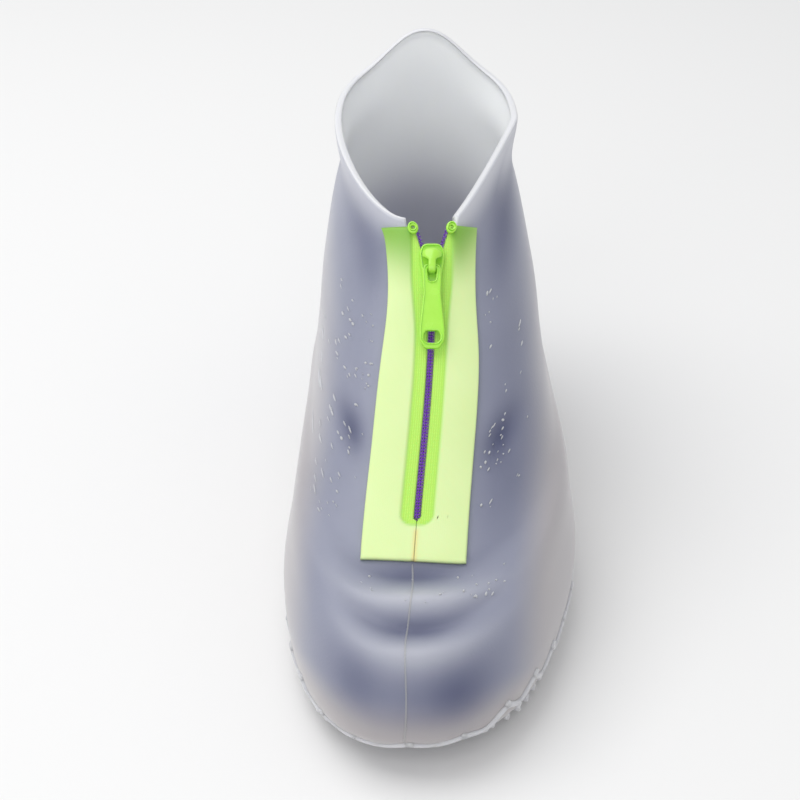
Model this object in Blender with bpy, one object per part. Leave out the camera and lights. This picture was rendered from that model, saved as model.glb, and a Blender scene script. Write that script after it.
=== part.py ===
"""A silicone overshoe with a front zip: skin and moulded tread, two tapes, teeth, slider and pull tab.

Metres, +Z up, toe towards -Y, heel towards +Y. A station is the distance back from the toe tip. A level
runs from 0 at the sole's edge to 1 at the rim, and a turn goes round from 0 at the front to pi at the back.
"""
import math

import bpy
import numpy as np

# Foot sizes
LENGTH = 0.290
BALL_WIDTH = 0.1065
WAIST_WIDTH = 0.0941
HEEL_WIDTH = 0.087
BALL_STATION = 0.0813
WAIST_STATION = 0.1796
HEEL_STATION = 0.240
BALL_SKEW = 0.052
SIDE_BLUNTNESS = 0.088
TOE_SWING = 0.0114
TOE_SPRING = 0.009
SPRING_LENGTH = 0.085
SPRING_HEIGHT = 0.060

# Collar sizes
COLLAR_WIDTH = 0.0678
THROAT_STATION = 0.1613
THROAT_HEIGHT = 0.1230
BACK_HEIGHT = 0.1385
HEEL_LEAN = 0.0100
COLLAR_BACKSET = 0.518
COLLAR_SKEW = -0.315
RIM_FLARE = 0.055
NOSE_HALF = 0.0081
NOSE_TURN = 0.10
TAB_RISE = 0.0145
TAB_SPREAD = 0.485

# Wall sizes
WALL = 0.0016
RIM_WALL = 0.0028
RIM_DEPTH = 0.0038
SOLE = 0.0030
TREAD = 0.0020

# Each ring of the skin, from the sole's edge up to the rim, as shares of the sizes above. Columns: front
# station, front height, heel inset, back height, width, share of collar, bluntness in front and behind.
RINGS = (
    (0.035, 0.000, 0.35, 0.000, 0.902, 0.00, 2.35, 2.20),
    (0.000, 0.060, 0.05, 0.060, 0.976, 0.00, 2.35, 2.20),
    (0.010, 0.170, 0.02, 0.200, 1.013, 0.00, 2.35, 2.20),
    (0.070, 0.280, 0.10, 0.330, 0.985, 0.02, 2.35, 2.20),
    (0.180, 0.345, 0.25, 0.440, 0.984, 0.06, 2.35, 2.20),
    (0.330, 0.395, 0.42, 0.540, 0.950, 0.14, 2.35, 2.20),
    (0.490, 0.500, 0.60, 0.640, 0.955, 0.30, 2.40, 2.20),
    (0.650, 0.640, 0.78, 0.740, 0.994, 0.52, 2.40, 2.15),
    (0.800, 0.780, 0.93, 0.830, 0.955, 0.75, 2.35, 2.10),
    (0.920, 0.905, 1.00, 0.915, 0.630, 0.92, 1.61, 2.13),
    (1.000, 1.000, 0.90, 1.000, 0.780, 1.00, 1.46, 2.13),
)

# Middle line over the instep. Columns: share of throat station, share of toe swing.
MIDDLE_LINE = (
    (0.00, 1.00),
    (0.21, 0.80),
    (0.34, 0.71),
    (0.46, 0.56),
    (0.61, 0.32),
    (0.76, 0.12),
    (1.00, 0.08),
    (1.37, 0.17),
)

# Folds over the toes, measured from the rim down the front. Columns: share of the front's length, side as
# a share of the ball's half width, reach sideways, spread down the front, height outwards, in millimetres.
FOLDS = (
    (0.655, 0.00, 20.0, 4.6, -1.5),
    (0.714, 0.02, 22.0, 4.2, 1.6),
    (0.767, 0.04, 20.0, 4.4, -2.2),
    (0.820, 0.06, 21.0, 4.2, 1.3),
    (0.880, 0.04, 22.0, 6.0, -0.9),
    (0.430, -0.50, 6.0, 8.0, -1.2),
    (0.440, 0.48, 6.0, 8.0, -1.2),
)

# Zip sizes. Depths are measured from the rim down the front.
SLOT_HALF = 0.0050
SLOT_MOUTH = 0.0096
SLOT_FLARE = 0.015
SLOT_END = 0.120
TAPE_TOP = 0.0038
TAPE_END = 0.1335
TAPE_HALF = 0.018
TAPE_WALL = 0.0010
TAPE_SPREAD = 0.0012
BAND_HALF = 0.011
CHAIN_END = 0.117
CHAIN_HALF = 0.0011
CHAIN_WALL = 0.0013
PART_HALF = 0.0066
PART_START = 0.022
FIT_GAP = 0.0003

# Slider and pull tab sizes
SLIDER_DEPTH = 0.0205
SLIDER_LENGTH = 0.018
SLIDER_WALL = 0.0015
SLIDER_FLOOR = 0.0020
SLIDER_BACK_HALF = 0.0044
SLIDER_FRONT_HALF = 0.0034
SHOE_WALL = 0.0011
SHOE_DROP = 0.0002
BRIDGE_HALF = 0.0013
BRIDGE_WALL = 0.0012
BRIDGE_CLEAR = 0.0025
BRIDGE_BACK = 0.0070
BRIDGE_FRONT = 0.0030
PULL_LENGTH = 0.032
PULL_WALL = 0.0016
PULL_HALF = 0.0044
PULL_NECK_HALF = 0.0032
PIVOT_AHEAD = 0.0003
PIVOT_HEIGHT = 0.0048
STOP_HALF = 0.0019
STOP_LENGTH = 0.0048
STOP_WALL = 0.0016
STOP_HOLE = 0.0007
STOP_SIDE = 0.0066
STOP_DEPTH = 0.0050

# Tread sizes
BAND_WIDTH = 0.031
RIB_WIDTH = 0.0024
RIB_WAVE = 0.0026
RIB_WAVELENGTH = 0.030
RIB_SWEEP = 0.004
RIB_MARGIN = -0.0010
RIB_BITE = 0.0008
RIB_STEPS = 8
FRONT_START = 0.016
FRONT_END = 0.088
FRONT_PITCH = 0.0072
HEEL_START = 0.1945
HEEL_END = 0.278
HEEL_PITCH = 0.0080
GRID_START = 0.0975
GRID_STEP = 0.0170
GRID_COLUMNS = 6
GRID_SIDES = (0.0200, 0.0370)
DOT_RADIUS = 0.0021
DASH_LENGTH = 0.0085

# Wavy bead round the side of the sole
WAVE_LENGTH = 0.0187
WAVE_STEPS = 4
WAVE_HEIGHT = 0.0108
WAVE_TILT = 0.0022
WAVE_SWING = 0.0019
WAVE_WIDTH = 0.0022
WAVE_PROUD = 0.0010
WAVE_BITE = 0.0012

# Distances from the rim down the front at which the skin has a row of points. The last five are shares of
# what is left of the front below the folds.
COLLAR_ROWS = (0.0, 0.0015, 0.0038, 0.009, 0.015, 0.022, 0.030)
ZIP_ROW_STEP = 0.0115
FOLD_ROW_STEP = 0.0062
FOLD_ROWS = 9
TOE_ROWS = (0.20, 0.45, 0.68, 0.86, 1.0)
BACK_SPANS = 14
BACK_CROWDING = 0.03
SOLE_SPANS = 4


def smooth(x):
    """Smooth step from 0 to 1."""
    x = min(max(x, 0.0), 1.0)
    return x * x * (3.0 - 2.0 * x)


def table_columns(table, place):
    """Columns of an evenly spaced table at a place from 0 to 1, by a cubic through the rows."""
    last = len(table) - 1
    position = min(max(place, 0.0), 1.0) * last
    index = min(int(position), last - 1)
    f = position - index
    rows = [np.array(table[min(max(k, 0), last)]) for k in range(index - 1, index + 3)]
    start = rows[2] - rows[1] if index == 0 else (rows[2] - rows[0]) / 2.0
    end = rows[2] - rows[1] if index == last - 1 else (rows[3] - rows[1]) / 2.0
    return (
        (2 * f**3 - 3 * f**2 + 1) * rows[1]
        + (f**3 - 2 * f**2 + f) * start
        + (-2 * f**3 + 3 * f**2) * rows[2]
        + (f**3 - f**2) * end
    )


def middle(station):
    """Side place of the middle line at a station."""
    shares = [row[0] for row in MIDDLE_LINE]
    swings = [row[1] for row in MIDDLE_LINE]
    spread = 0.08
    total = 0.0
    for step in (-1.0, 0.0, 1.0):
        total += float(np.interp(station / THROAT_STATION + step * spread, shares, swings))
    return -TOE_SWING * total / 3.0


def half_width(station):
    """Half width of the foot at a station, without the skew."""
    ball, waist, heel = BALL_WIDTH / 2, WAIST_WIDTH / 2, HEEL_WIDTH / 2
    to_waist = smooth((station - BALL_STATION) / (WAIST_STATION - BALL_STATION))
    to_heel = smooth((station - WAIST_STATION) / (HEEL_STATION - WAIST_STATION))
    return ball + (waist - ball) * to_waist + (heel - waist) * to_heel


def toe_lift(station):
    """Rise of the sole at a station in front of the ball."""
    return TOE_SPRING * max(0.0, 1.0 - station / SPRING_LENGTH) ** 2


def plain_skin(level, turn):
    """Point of the outer skin before the folds."""
    front, front_rise, inset, back_rise, width, collar, blunt, back_blunt = table_columns(RINGS, level)
    side = 1.0 if turn >= 0.0 else -1.0
    turn = abs(turn)
    front_station = front * THROAT_STATION
    back_station = LENGTH - inset * HEEL_LEAN
    along = (1.0 - math.cos(turn)) / 2.0
    along += COLLAR_BACKSET * collar * along * (1.0 - along)
    station = front_station + (back_station - front_station) * along
    height = front_rise * THROAT_HEIGHT
    height += (back_rise * BACK_HEIGHT - height) * along
    tab = math.exp(-(((math.pi - turn) / TAB_SPREAD) ** 2))
    height += TAB_RISE * tab * smooth((level - 0.75) / 0.25)
    if math.cos(turn) > 0.0:
        power = blunt + side * (SIDE_BLUNTNESS * (1.0 - collar) + COLLAR_SKEW * collar)
    else:
        power = back_blunt
    cap = max(0.0, 1.0 - abs(math.cos(turn)) ** power) ** (1.0 / power)
    half = half_width(station) * width * (1.0 - collar) + collar * COLLAR_WIDTH / 2.0
    half *= 1.0 + RIM_FLARE * smooth((level - 0.88) / 0.12) * (1.0 + 0.5 * math.cos(turn))
    skew = BALL_SKEW * (1.0 - collar) * (1.0 - smooth((station - 0.045) / (WAIST_STATION - 0.045)))
    reach = half * cap
    if math.cos(turn) > 0.0:
        nose = min(NOSE_HALF * collar, half * 0.6)
        reach = nose * math.tanh(turn / NOSE_TURN) + (half - nose) * cap
    x = middle(station) + reach * (side + skew)
    height += TREAD + toe_lift(station) * max(0.0, 1.0 - height / SPRING_HEIGHT)
    return np.array((x, station - LENGTH / 2.0, height))


def unit(vector):
    """Vector of length one."""
    return vector / max(float(np.linalg.norm(vector)), 1e-12)


def skin_normal(level, turn):
    """Outward direction of the plain skin."""
    low, high = max(level - 0.004, 0.0), min(level + 0.004, 1.0)
    up = plain_skin(high, turn) - plain_skin(low, turn)
    ahead, behind = turn + 0.02, turn - 0.02
    if ahead > math.pi:
        ahead -= 2.0 * math.pi
    around = plain_skin(level, ahead) - plain_skin(level, behind)
    return unit(np.cross(around, up))


# Front line of the skin, sampled from the rim down
FRONT_LEVELS = np.linspace(1.0, 0.0, 401)
FRONT_POINTS = np.array([plain_skin(level, 0.0) for level in FRONT_LEVELS])
FRONT_STEPS = np.linalg.norm(np.diff(FRONT_POINTS, axis=0), axis=1)
FRONT_DEPTHS = np.concatenate(([0.0], np.cumsum(FRONT_STEPS)))
FRONT_LENGTH = float(FRONT_DEPTHS[-1])


def level_at(depth):
    """Level at a distance from the rim down the front."""
    return float(np.interp(depth, FRONT_DEPTHS, FRONT_LEVELS))


def depth_at(level):
    """Distance from the rim down the front at a level."""
    return float(np.interp(-level, -FRONT_LEVELS, FRONT_DEPTHS))


def turn_at(level, side_place):
    """Turn at which a level's ring is a given distance sideways from the front line."""
    if abs(side_place) < 1e-9:
        return 0.0
    side = 1.0 if side_place > 0.0 else -1.0
    front = plain_skin(level, 0.0)[0]
    low, high = 0.0, 1.3
    for _ in range(40):
        turn = (low + high) / 2.0
        if abs(plain_skin(level, side * turn)[0] - front) < abs(side_place):
            low = turn
        else:
            high = turn
    return side * (low + high) / 2.0


def fold_height(level, point):
    """Outward push of the folds at a point of the plain skin."""
    depth = depth_at(level)
    side_place = point[0] - middle(point[1] + LENGTH / 2.0)
    push = 0.0
    for share, side, reach, spread, height in FOLDS:
        across = (side_place - side * BALL_WIDTH / 2.0) / (reach / 1000.0)
        down = (depth - share * FRONT_LENGTH) / (spread / 1000.0)
        push += height / 1000.0 * math.exp(-(across**2)) * math.exp(-(down**2))
    return push


def skin(level, turn, lift=0.0):
    """Point of the folded skin, lifted outwards by a distance."""
    point = plain_skin(level, turn)
    push = fold_height(level, point) if abs(turn) < 1.6 else 0.0
    return point + skin_normal(level, turn) * (push + lift)


def slot_half(depth):
    """Half width of the zip's slot in the skin at a depth."""
    return SLOT_HALF + (SLOT_MOUTH - SLOT_HALF) * smooth(1.0 - depth / SLOT_FLARE)


def part_half(depth):
    """Distance of a tape's inner edge from the middle line at a depth."""
    closed = CHAIN_HALF + FIT_GAP
    if depth > CHAIN_END + 1e-6:
        return FIT_GAP
    share = max(0.0, (PART_START - depth) / (PART_START - TAPE_TOP))
    return closed + (PART_HALF - closed) * share


def rows_down():
    """Depths of the skin's rows from the rim to the sole's edge."""
    rows = list(COLLAR_ROWS)
    count = max(2, round((SLOT_END - rows[-1]) / ZIP_ROW_STEP))
    rows += list(np.linspace(rows[-1], SLOT_END, count + 1)[1:])
    rows += [(SLOT_END + TAPE_END) / 2.0, TAPE_END]
    rows += [TAPE_END + FOLD_ROW_STEP * (k + 1) for k in range(FOLD_ROWS)]
    left = FRONT_LENGTH - rows[-1]
    rows += [rows[-1] + left * share for share in TOE_ROWS]
    return rows


def finish(name, vertices, faces, material, hidden=False):
    """Mesh object from points and faces."""
    mesh = bpy.data.meshes.new(name)
    mesh.from_pydata([tuple(float(c) for c in v) for v in vertices], [], faces)
    mesh.update()
    item = bpy.data.objects.new(name, mesh)
    bpy.context.scene.collection.objects.link(item)
    if hidden:
        item.hide_render = True
        item.display_type = "WIRE"
    else:
        mesh.materials.append(material)
    return item


def layered(outer, inner, cells):
    """Closed shell between two layers of points that share the same cells, walled along their edge."""
    used = list(dict.fromkeys(key for cell in cells for key in cell))
    number = {key: index for index, key in enumerate(used)}
    vertices = [outer[key] for key in used] + [inner[key] for key in used]
    faces = []
    edges = {}
    for cell in cells:
        ring = [number[key] for key in cell]
        for k in range(1, len(ring) - 1):
            corner = (ring[0], ring[k], ring[k + 1])
            faces.append(corner)
            faces.append(tuple(index + len(used) for index in reversed(corner)))
        for a, b in zip(ring, ring[1:] + ring[:1]):
            edges[(a, b)] = edges.get((a, b), 0) + 1
    for a, b in edges:
        if (b, a) not in edges:
            faces.append((b, a, a + len(used), b + len(used)))
    return vertices, faces


def plastic(name, colour, roughness):
    """Plain material of one colour."""
    material = bpy.data.materials.new(name)
    material.use_nodes = True
    shader = material.node_tree.nodes["Principled BSDF"]
    shader.inputs["Base Color"].default_value = (*colour, 1.0)
    shader.inputs["Roughness"].default_value = roughness
    shader.inputs["Metallic"].default_value = 0.0
    return material


def skin_layers():
    """Outer and inner points of the skin and sole, and the cells between them."""
    depths = rows_down()
    outer, inner, cells = {}, {}, []
    right = ["slot", "band", "tape"] + list(range(1, BACK_SPANS))
    last = len(depths) - 1
    slot_row = min(range(last + 1), key=lambda k: abs(depths[k] - SLOT_END))
    for i, depth in enumerate(depths):
        level = level_at(depth)
        spread = TAPE_SPREAD * smooth(1.0 - depth / SLOT_FLARE)
        places = {"slot": slot_half(depth), "band": BAND_HALF + spread / 2.0, "tape": TAPE_HALF + spread}
        turns = {(i, 0, "mid"): 0.0, (i, 0, "back"): math.pi}
        for side in (1, -1):
            edge_turn = abs(turn_at(level, side * places["tape"]))
            for column in right:
                if column in places:
                    turn = turn_at(level, side * places[column])
                else:
                    share = column / BACK_SPANS
                    share -= BACK_CROWDING * math.sin(2.0 * math.pi * share)
                    turn = side * (edge_turn + (math.pi - edge_turn) * share)
                turns[(i, side, column)] = turn
        sole_share = smooth((depth - depths[-3]) / (depths[-1] - depths[-3]))
        for key, turn in turns.items():
            point = skin(level, turn)
            normal = skin_normal(level, turn)
            rim_share = 1.0 - smooth((depth - RIM_DEPTH * 0.4) / (RIM_DEPTH * 0.8))
            thick = WALL + (RIM_WALL - WALL) * rim_share
            outer[key] = point
            flat = unit(np.array((-normal[0], -normal[1], 0.0)))
            down = -normal * thick
            up = np.array((0.0, 0.0, SOLE)) + flat * 0.0008
            inner[key] = point + down * (1.0 - sole_share) + up * sole_share
    ring = [(0, "mid")] + [(1, c) for c in right] + [(0, "back")]
    ring += [(-1, c) for c in reversed(right)]
    for i in range(last):
        for k, (side, column) in enumerate(ring):
            side_next, column_next = ring[(k + 1) % len(ring)]
            if i < slot_row and "mid" in (column, column_next):
                continue
            a, b = (i, side, column), (i, side_next, column_next)
            c, d = (i + 1, side_next, column_next), (i + 1, side, column)
            cells.append((a, d, c, b))
    right_line = [(last, 0, "mid")] + [(last, 1, c) for c in right] + [(last, 0, "back")]
    left_line = [(last, 0, "mid")] + [(last, -1, c) for c in right] + [(last, 0, "back")]
    lines = []
    for r, l in zip(right_line, left_line):
        if r == l:
            lines.append([r])
            continue
        line = [r]
        for m in range(1, SOLE_SPANS):
            key = ("sole", r, m)
            f = m / SOLE_SPANS
            outer[key] = outer[r] * (1.0 - f) + outer[l] * f
            inner[key] = inner[r] * (1.0 - f) + inner[l] * f
            line.append(key)
        line.append(l)
        lines.append(line)
    for line, following in zip(lines, lines[1:]):
        for m in range(SOLE_SPANS):
            if len(line) == 1:
                cells.append((line[0], following[m + 1], following[m]))
            elif len(following) == 1:
                cells.append((line[m], line[m + 1], following[0]))
            else:
                cells.append((line[m], line[m + 1], following[m + 1], following[m]))
    return outer, inner, cells


def sole_edges():
    """Outline of the flat sole: stations with the left and right edge there."""
    outline = {}
    for side in (-1, 1):
        points = [plain_skin(0.0, side * turn) for turn in np.linspace(0.0, math.pi, 121)]
        outline[side] = (
            np.array([p[1] + LENGTH / 2.0 for p in points]),
            np.array([p[0] for p in points]),
        )
    return outline


OUTLINE = sole_edges()


def edge_at(station, side):
    """Side place of the sole's edge at a station."""
    return float(np.interp(station, OUTLINE[side][0], OUTLINE[side][1]))


def sole_middle(station):
    """Side place halfway between the sole's edges at a station."""
    return (edge_at(station, 1) + edge_at(station, -1)) / 2.0


def sweep_rib(path, vertices, faces):
    """Raised rib along a path of (x, station) points, its top sunk into the sole."""
    start = len(vertices)
    scales = [0.55] + [1.0] * (len(path) - 2) + [0.55]
    for k, (x, station) in enumerate(path):
        before, after = path[max(k - 1, 0)], path[min(k + 1, len(path) - 1)]
        run = np.array((after[0] - before[0], after[1] - before[1]))
        run = run / max(float(np.linalg.norm(run)), 1e-9)
        cross = np.array((-run[1], run[0])) * RIB_WIDTH / 2.0 * scales[k]
        for side, share, sink in ((1, 1.0, True), (-1, 1.0, True), (-1, 0.7, False), (1, 0.7, False)):
            px = x + side * share * cross[0]
            ps = station + side * share * cross[1]
            pz = toe_lift(ps) + (TREAD + RIB_BITE if sink else 0.0)
            vertices.append((px, ps - LENGTH / 2.0, pz))
    for k in range(len(path) - 1):
        for side in range(4):
            a, b = start + 4 * k + side, start + 4 * k + (side + 1) % 4
            faces.append((a, b, b + 4, a + 4))
    end = start + 4 * (len(path) - 1)
    faces.append((start + 3, start + 2, start + 1, start))
    faces.append((end, end + 1, end + 2, end + 3))


def wave_path(station, side):
    """Wave rib from the sole's plain band out to its edge."""
    inner = BAND_WIDTH / 2.0
    outer = abs(edge_at(station - RIB_SWEEP, side) - sole_middle(station)) - RIB_MARGIN
    if outer - inner < 0.009:
        return None
    path = []
    for k in range(RIB_STEPS + 1):
        reach = (outer - inner) * k / RIB_STEPS
        wave = RIB_WAVE * math.sin(2.0 * math.pi * reach / RIB_WAVELENGTH)
        sweep = RIB_SWEEP * (k / RIB_STEPS) ** 2
        path.append((sole_middle(station) + side * (inner + reach), station + wave - sweep))
    return path


def prism(centre, radii, turn, count, vertices, faces):
    """Upright prism under the sole on an oval outline, its top sunk into the sole."""
    start = len(vertices)
    x, station = centre
    for sink in (True, False):
        for k in range(count):
            angle = 2.0 * math.pi * (k + 0.5) / count
            px = x + radii[0] * math.cos(angle) * math.cos(turn) - radii[1] * math.sin(angle) * math.sin(turn)
            ps = station + radii[0] * math.cos(angle) * math.sin(turn)
            ps += radii[1] * math.sin(angle) * math.cos(turn)
            pz = toe_lift(ps) + (TREAD + RIB_BITE if sink else 0.0)
            vertices.append((px, ps - LENGTH / 2.0, pz))
    for k in range(count):
        a, b = start + k, start + (k + 1) % count
        faces.append((b, a, a + count, b + count))
    faces.append(tuple(start + k for k in range(count)))
    faces.append(tuple(start + count + k for k in reversed(range(count))))


def tread():
    """Wave ribs under the ball and heel, dots and dashes under the arch."""
    vertices, faces = [], []
    stations = list(np.arange(FRONT_START, FRONT_END, FRONT_PITCH))
    stations += list(np.arange(HEEL_START, HEEL_END, HEEL_PITCH))
    for station in stations:
        for side in (-1, 1):
            path = wave_path(station, side)
            if path:
                sweep_rib(path, vertices, faces)
    root_two = math.sqrt(2.0)
    for side in (-1, 1):
        for column in range(GRID_COLUMNS):
            station = GRID_START + column * GRID_STEP
            for row, place in enumerate(GRID_SIDES):
                x = sole_middle(station) + side * place
                if place + 0.004 > abs(edge_at(station, side) - sole_middle(station)):
                    continue
                prism((x, station), (DOT_RADIUS, DOT_RADIUS), 0.0, 6, vertices, faces)
                if column < GRID_COLUMNS - 1:
                    dash = (RIB_WIDTH / 2.0 * root_two, DASH_LENGTH / 2.0 * root_two)
                    between = station + GRID_STEP / 2.0
                    x_between = sole_middle(between) + side * place
                    prism((x_between, between), dash, 0.0, 4, vertices, faces)
                if row:
                    dash = (DASH_LENGTH / 2.0 * root_two, RIB_WIDTH / 2.0 * root_two)
                    halfway = (GRID_SIDES[row] + GRID_SIDES[row - 1]) / 2.0
                    prism((sole_middle(station) + side * halfway, station), dash, 0.0, 4, vertices, faces)
    return vertices, faces


def level_of_height(turn, height):
    """Level near the sole's edge at which the skin has a height above the ground."""
    low, high = 0.0, 0.22
    for _ in range(24):
        level = (low + high) / 2.0
        if plain_skin(level, turn)[2] < height:
            low = level
        else:
            high = level
    return (low + high) / 2.0


def side_wave():
    """Raised bead that waves round the side of the sole, its back sunk into the skin."""
    turns = np.linspace(-math.pi, math.pi, 721)
    ring = np.array([plain_skin(0.1, turn) for turn in turns])
    lengths = np.concatenate(([0.0], np.cumsum(np.linalg.norm(np.diff(ring, axis=0), axis=1))))
    periods = round(float(lengths[-1]) / WAVE_LENGTH)
    count = periods * WAVE_STEPS
    centres, outs = [], []
    for k in range(count):
        turn = float(np.interp(lengths[-1] * (k + 0.5) / count, lengths, turns))
        place = plain_skin(0.1, turn)
        height = WAVE_HEIGHT + toe_lift(place[1] + LENGTH / 2.0) + WAVE_TILT * math.sin(turn)
        height += WAVE_SWING * math.sin(2.0 * math.pi * periods * (k + 0.5) / count)
        level = level_of_height(turn, height)
        centres.append(plain_skin(level, turn))
        outs.append(skin_normal(level, turn))
    vertices, faces = [], []
    for k, (centre, out) in enumerate(zip(centres, outs)):
        run = unit(centres[(k + 1) % count] - centres[k - 1])
        across = unit(np.cross(run, out)) * WAVE_WIDTH / 2.0
        vertices.append(centre - out * WAVE_BITE + across)
        vertices.append(centre - out * WAVE_BITE - across)
        vertices.append(centre + out * WAVE_PROUD - across * 0.6)
        vertices.append(centre + out * WAVE_PROUD + across * 0.6)
    for k in range(count):
        for side in range(4):
            a, b = 4 * k + side, 4 * k + (side + 1) % 4
            c, d = 4 * ((k + 1) % count) + (side + 1) % 4, 4 * ((k + 1) % count) + side
            faces.append((a, b, c, d))
    return vertices, faces


def strip_depths(start, end):
    """Depths of the skin's rows between two depths, with both ends."""
    inside = [d for d in rows_down() if start + 0.0004 < d < end - 0.0004]
    return [start] + inside + [end]


def raised(depth, side_place, height):
    """Point above the skin at a depth, a side place and a height, on the facets of the skin's own columns."""
    level = level_at(depth)
    side = 1.0 if side_place > 0.0 else -1.0
    slot = slot_half(depth)
    if abs(side_place) < slot:
        share = abs(side_place) / slot
        edge = skin(level, turn_at(level, side * slot), height)
        return skin(level, 0.0, height) * (1.0 - share) + edge * share
    return skin(level, turn_at(level, side_place), height)


def tape_layers(side):
    """One tape's layers, from its inner edge out to its selvedge."""
    depths = strip_depths(TAPE_TOP, TAPE_END)
    step = CHAIN_END
    depths = sorted(set([d for d in depths if abs(d - step) > 0.002] + [step, step + 0.0006]))
    outer, inner, cells = {}, {}, []
    for i, depth in enumerate(depths):
        spread = TAPE_SPREAD * smooth(1.0 - depth / SLOT_FLARE)
        places = (part_half(depth), slot_half(depth), BAND_HALF + spread / 2.0, TAPE_HALF + spread)
        for j, place in enumerate(places):
            place = max(place, part_half(depth) + 0.0008 * j)
            outer[(i, j)] = raised(depth, side * place, FIT_GAP + TAPE_WALL)
            inner[(i, j)] = raised(depth, side * place, FIT_GAP)
    for i in range(len(depths) - 1):
        for j in range(3):
            cell = ((i, j), (i + 1, j), (i + 1, j + 1), (i, j + 1))
            cells.append(cell if side > 0 else tuple(reversed(cell)))
    return outer, inner, cells


def chain_layers(side):
    """One row of teeth, a strip along the inner edge of its tape."""
    depths = strip_depths(TAPE_TOP + 0.0006, CHAIN_END - 0.0004)
    low = FIT_GAP + (TAPE_WALL - CHAIN_WALL) / 2.0
    outer, inner, cells = {}, {}, []
    for i, depth in enumerate(depths):
        far = part_half(depth) - FIT_GAP
        near = max(far - (CHAIN_HALF - FIT_GAP / 2.0), FIT_GAP / 2.0)
        for j, place in enumerate((near, far)):
            outer[(i, j)] = raised(depth, side * place, low + CHAIN_WALL)
            inner[(i, j)] = raised(depth, side * place, low)
    for i in range(len(depths) - 1):
        cell = ((i, 0), (i + 1, 0), (i + 1, 1), (i, 1))
        cells.append(cell if side > 0 else tuple(reversed(cell)))
    return outer, inner, cells


def slider_frame():
    """Origin and directions of the slider: down the zip, across it, and out of the skin."""
    ahead = skin(level_at(SLIDER_DEPTH + SLIDER_LENGTH / 2.0), 0.0)
    behind = skin(level_at(SLIDER_DEPTH - SLIDER_LENGTH / 2.0), 0.0)
    along = unit(ahead - behind)
    out = unit(skin_normal(level_at(SLIDER_DEPTH), 0.0))
    across = unit(np.cross(out, along))
    out = unit(np.cross(along, across))
    return (ahead + behind) / 2.0, along, across, out


def placed(frame, along, across, out):
    """Point in the slider's frame."""
    origin, down_zip, sideways, outwards = frame
    return origin + down_zip * along + sideways * across + outwards * out


def plate(frame, stations, low, high):
    """Plate symmetric about the zip. Stations: place along, half width, half width of a hole or 0."""
    outer, inner, cells = {}, {}, []
    for i, (along, half, hole) in enumerate(stations):
        gap = hole if hole > 0.0 else half * 0.4
        for j, across in enumerate((-half, -gap, gap, half)):
            outer[(i, j)] = placed(frame, along, across, high)
            inner[(i, j)] = placed(frame, along, across, low)
    for i in range(len(stations) - 1):
        for j in range(3):
            if j == 1 and stations[i][2] > 0.0 and stations[i + 1][2] > 0.0:
                continue
            cells.append(((i, j), (i + 1, j), (i + 1, j + 1), (i, j + 1)))
    return layered(outer, inner, cells)


def block(frame, along, half_start, half_end, low, high):
    """Plain block between two places along, with its half width at each."""
    return plate(frame, ((along[0], half_start, 0.0), (along[1], half_end, 0.0)), low, high)


def bridge(frame, floor):
    """Arch over the slider's plate, of constant width."""
    top = floor + SLIDER_WALL
    rise = BRIDGE_CLEAR + BRIDGE_WALL
    outline = (
        (-BRIDGE_BACK, -SLIDER_WALL / 2.0),
        (-BRIDGE_BACK, rise * 0.45),
        (-BRIDGE_BACK * 0.72, rise * 0.88),
        (-BRIDGE_BACK * 0.42, rise),
        (BRIDGE_FRONT * 0.45, rise),
        (BRIDGE_FRONT, rise * 0.72),
        (BRIDGE_FRONT, -SLIDER_WALL / 2.0),
        (BRIDGE_FRONT - BRIDGE_WALL, -SLIDER_WALL / 2.0),
        (BRIDGE_FRONT - BRIDGE_WALL, BRIDGE_CLEAR * 0.80),
        (BRIDGE_FRONT - BRIDGE_WALL - 0.0004, BRIDGE_CLEAR),
        (-BRIDGE_BACK * 0.42, BRIDGE_CLEAR),
        (-BRIDGE_BACK * 0.60, BRIDGE_CLEAR * 0.80),
        (-BRIDGE_BACK + BRIDGE_WALL, BRIDGE_CLEAR * 0.30),
        (-BRIDGE_BACK + BRIDGE_WALL, -SLIDER_WALL / 2.0),
    )
    count = len(outline)
    vertices = []
    for across in (-BRIDGE_HALF, BRIDGE_HALF):
        vertices += [placed(frame, along, across, top + height) for along, height in outline]
    faces = []
    half = count // 2
    for k in range(half - 1):
        a, b = k, k + 1
        c, d = count - 2 - k, count - 1 - k
        faces.append((d, c, b, a))
        faces.append((a + count, b + count, c + count, d + count))
    for k in range(count):
        a, b = k, (k + 1) % count
        faces.append((a, b, b + count, a + count))
    return vertices, faces


def united(item, helpers):
    """Joins hidden helper solids onto an object."""
    for helper in helpers:
        join = item.modifiers.new(helper.name, "BOOLEAN")
        join.operation = "UNION"
        join.solver = "EXACT"
        join.use_self = True
        join.object = helper
    return item


def stop_bead(frame, side):
    """Bead with a hole at the top end of one tape."""
    outer, inner, cells = {}, {}, []
    count = 8
    low = FIT_GAP * 2.0 + TAPE_WALL + 0.0003
    for k in range(count):
        angle = 2.0 * math.pi * (k + 0.5) / count
        for ring, (wide, long) in enumerate(((STOP_HOLE, STOP_HOLE), (STOP_HALF, STOP_LENGTH / 2.0))):
            along = long * math.cos(angle)
            across = wide * math.sin(angle)
            outer[(k, ring)] = placed(frame, along, across, low + STOP_WALL)
            inner[(k, ring)] = placed(frame, along, across, low)
    for k in range(count):
        following = (k + 1) % count
        cells.append(((k, 0), (k, 1), (following, 1), (following, 0)))
    return layered(outer, inner, cells)


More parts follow.
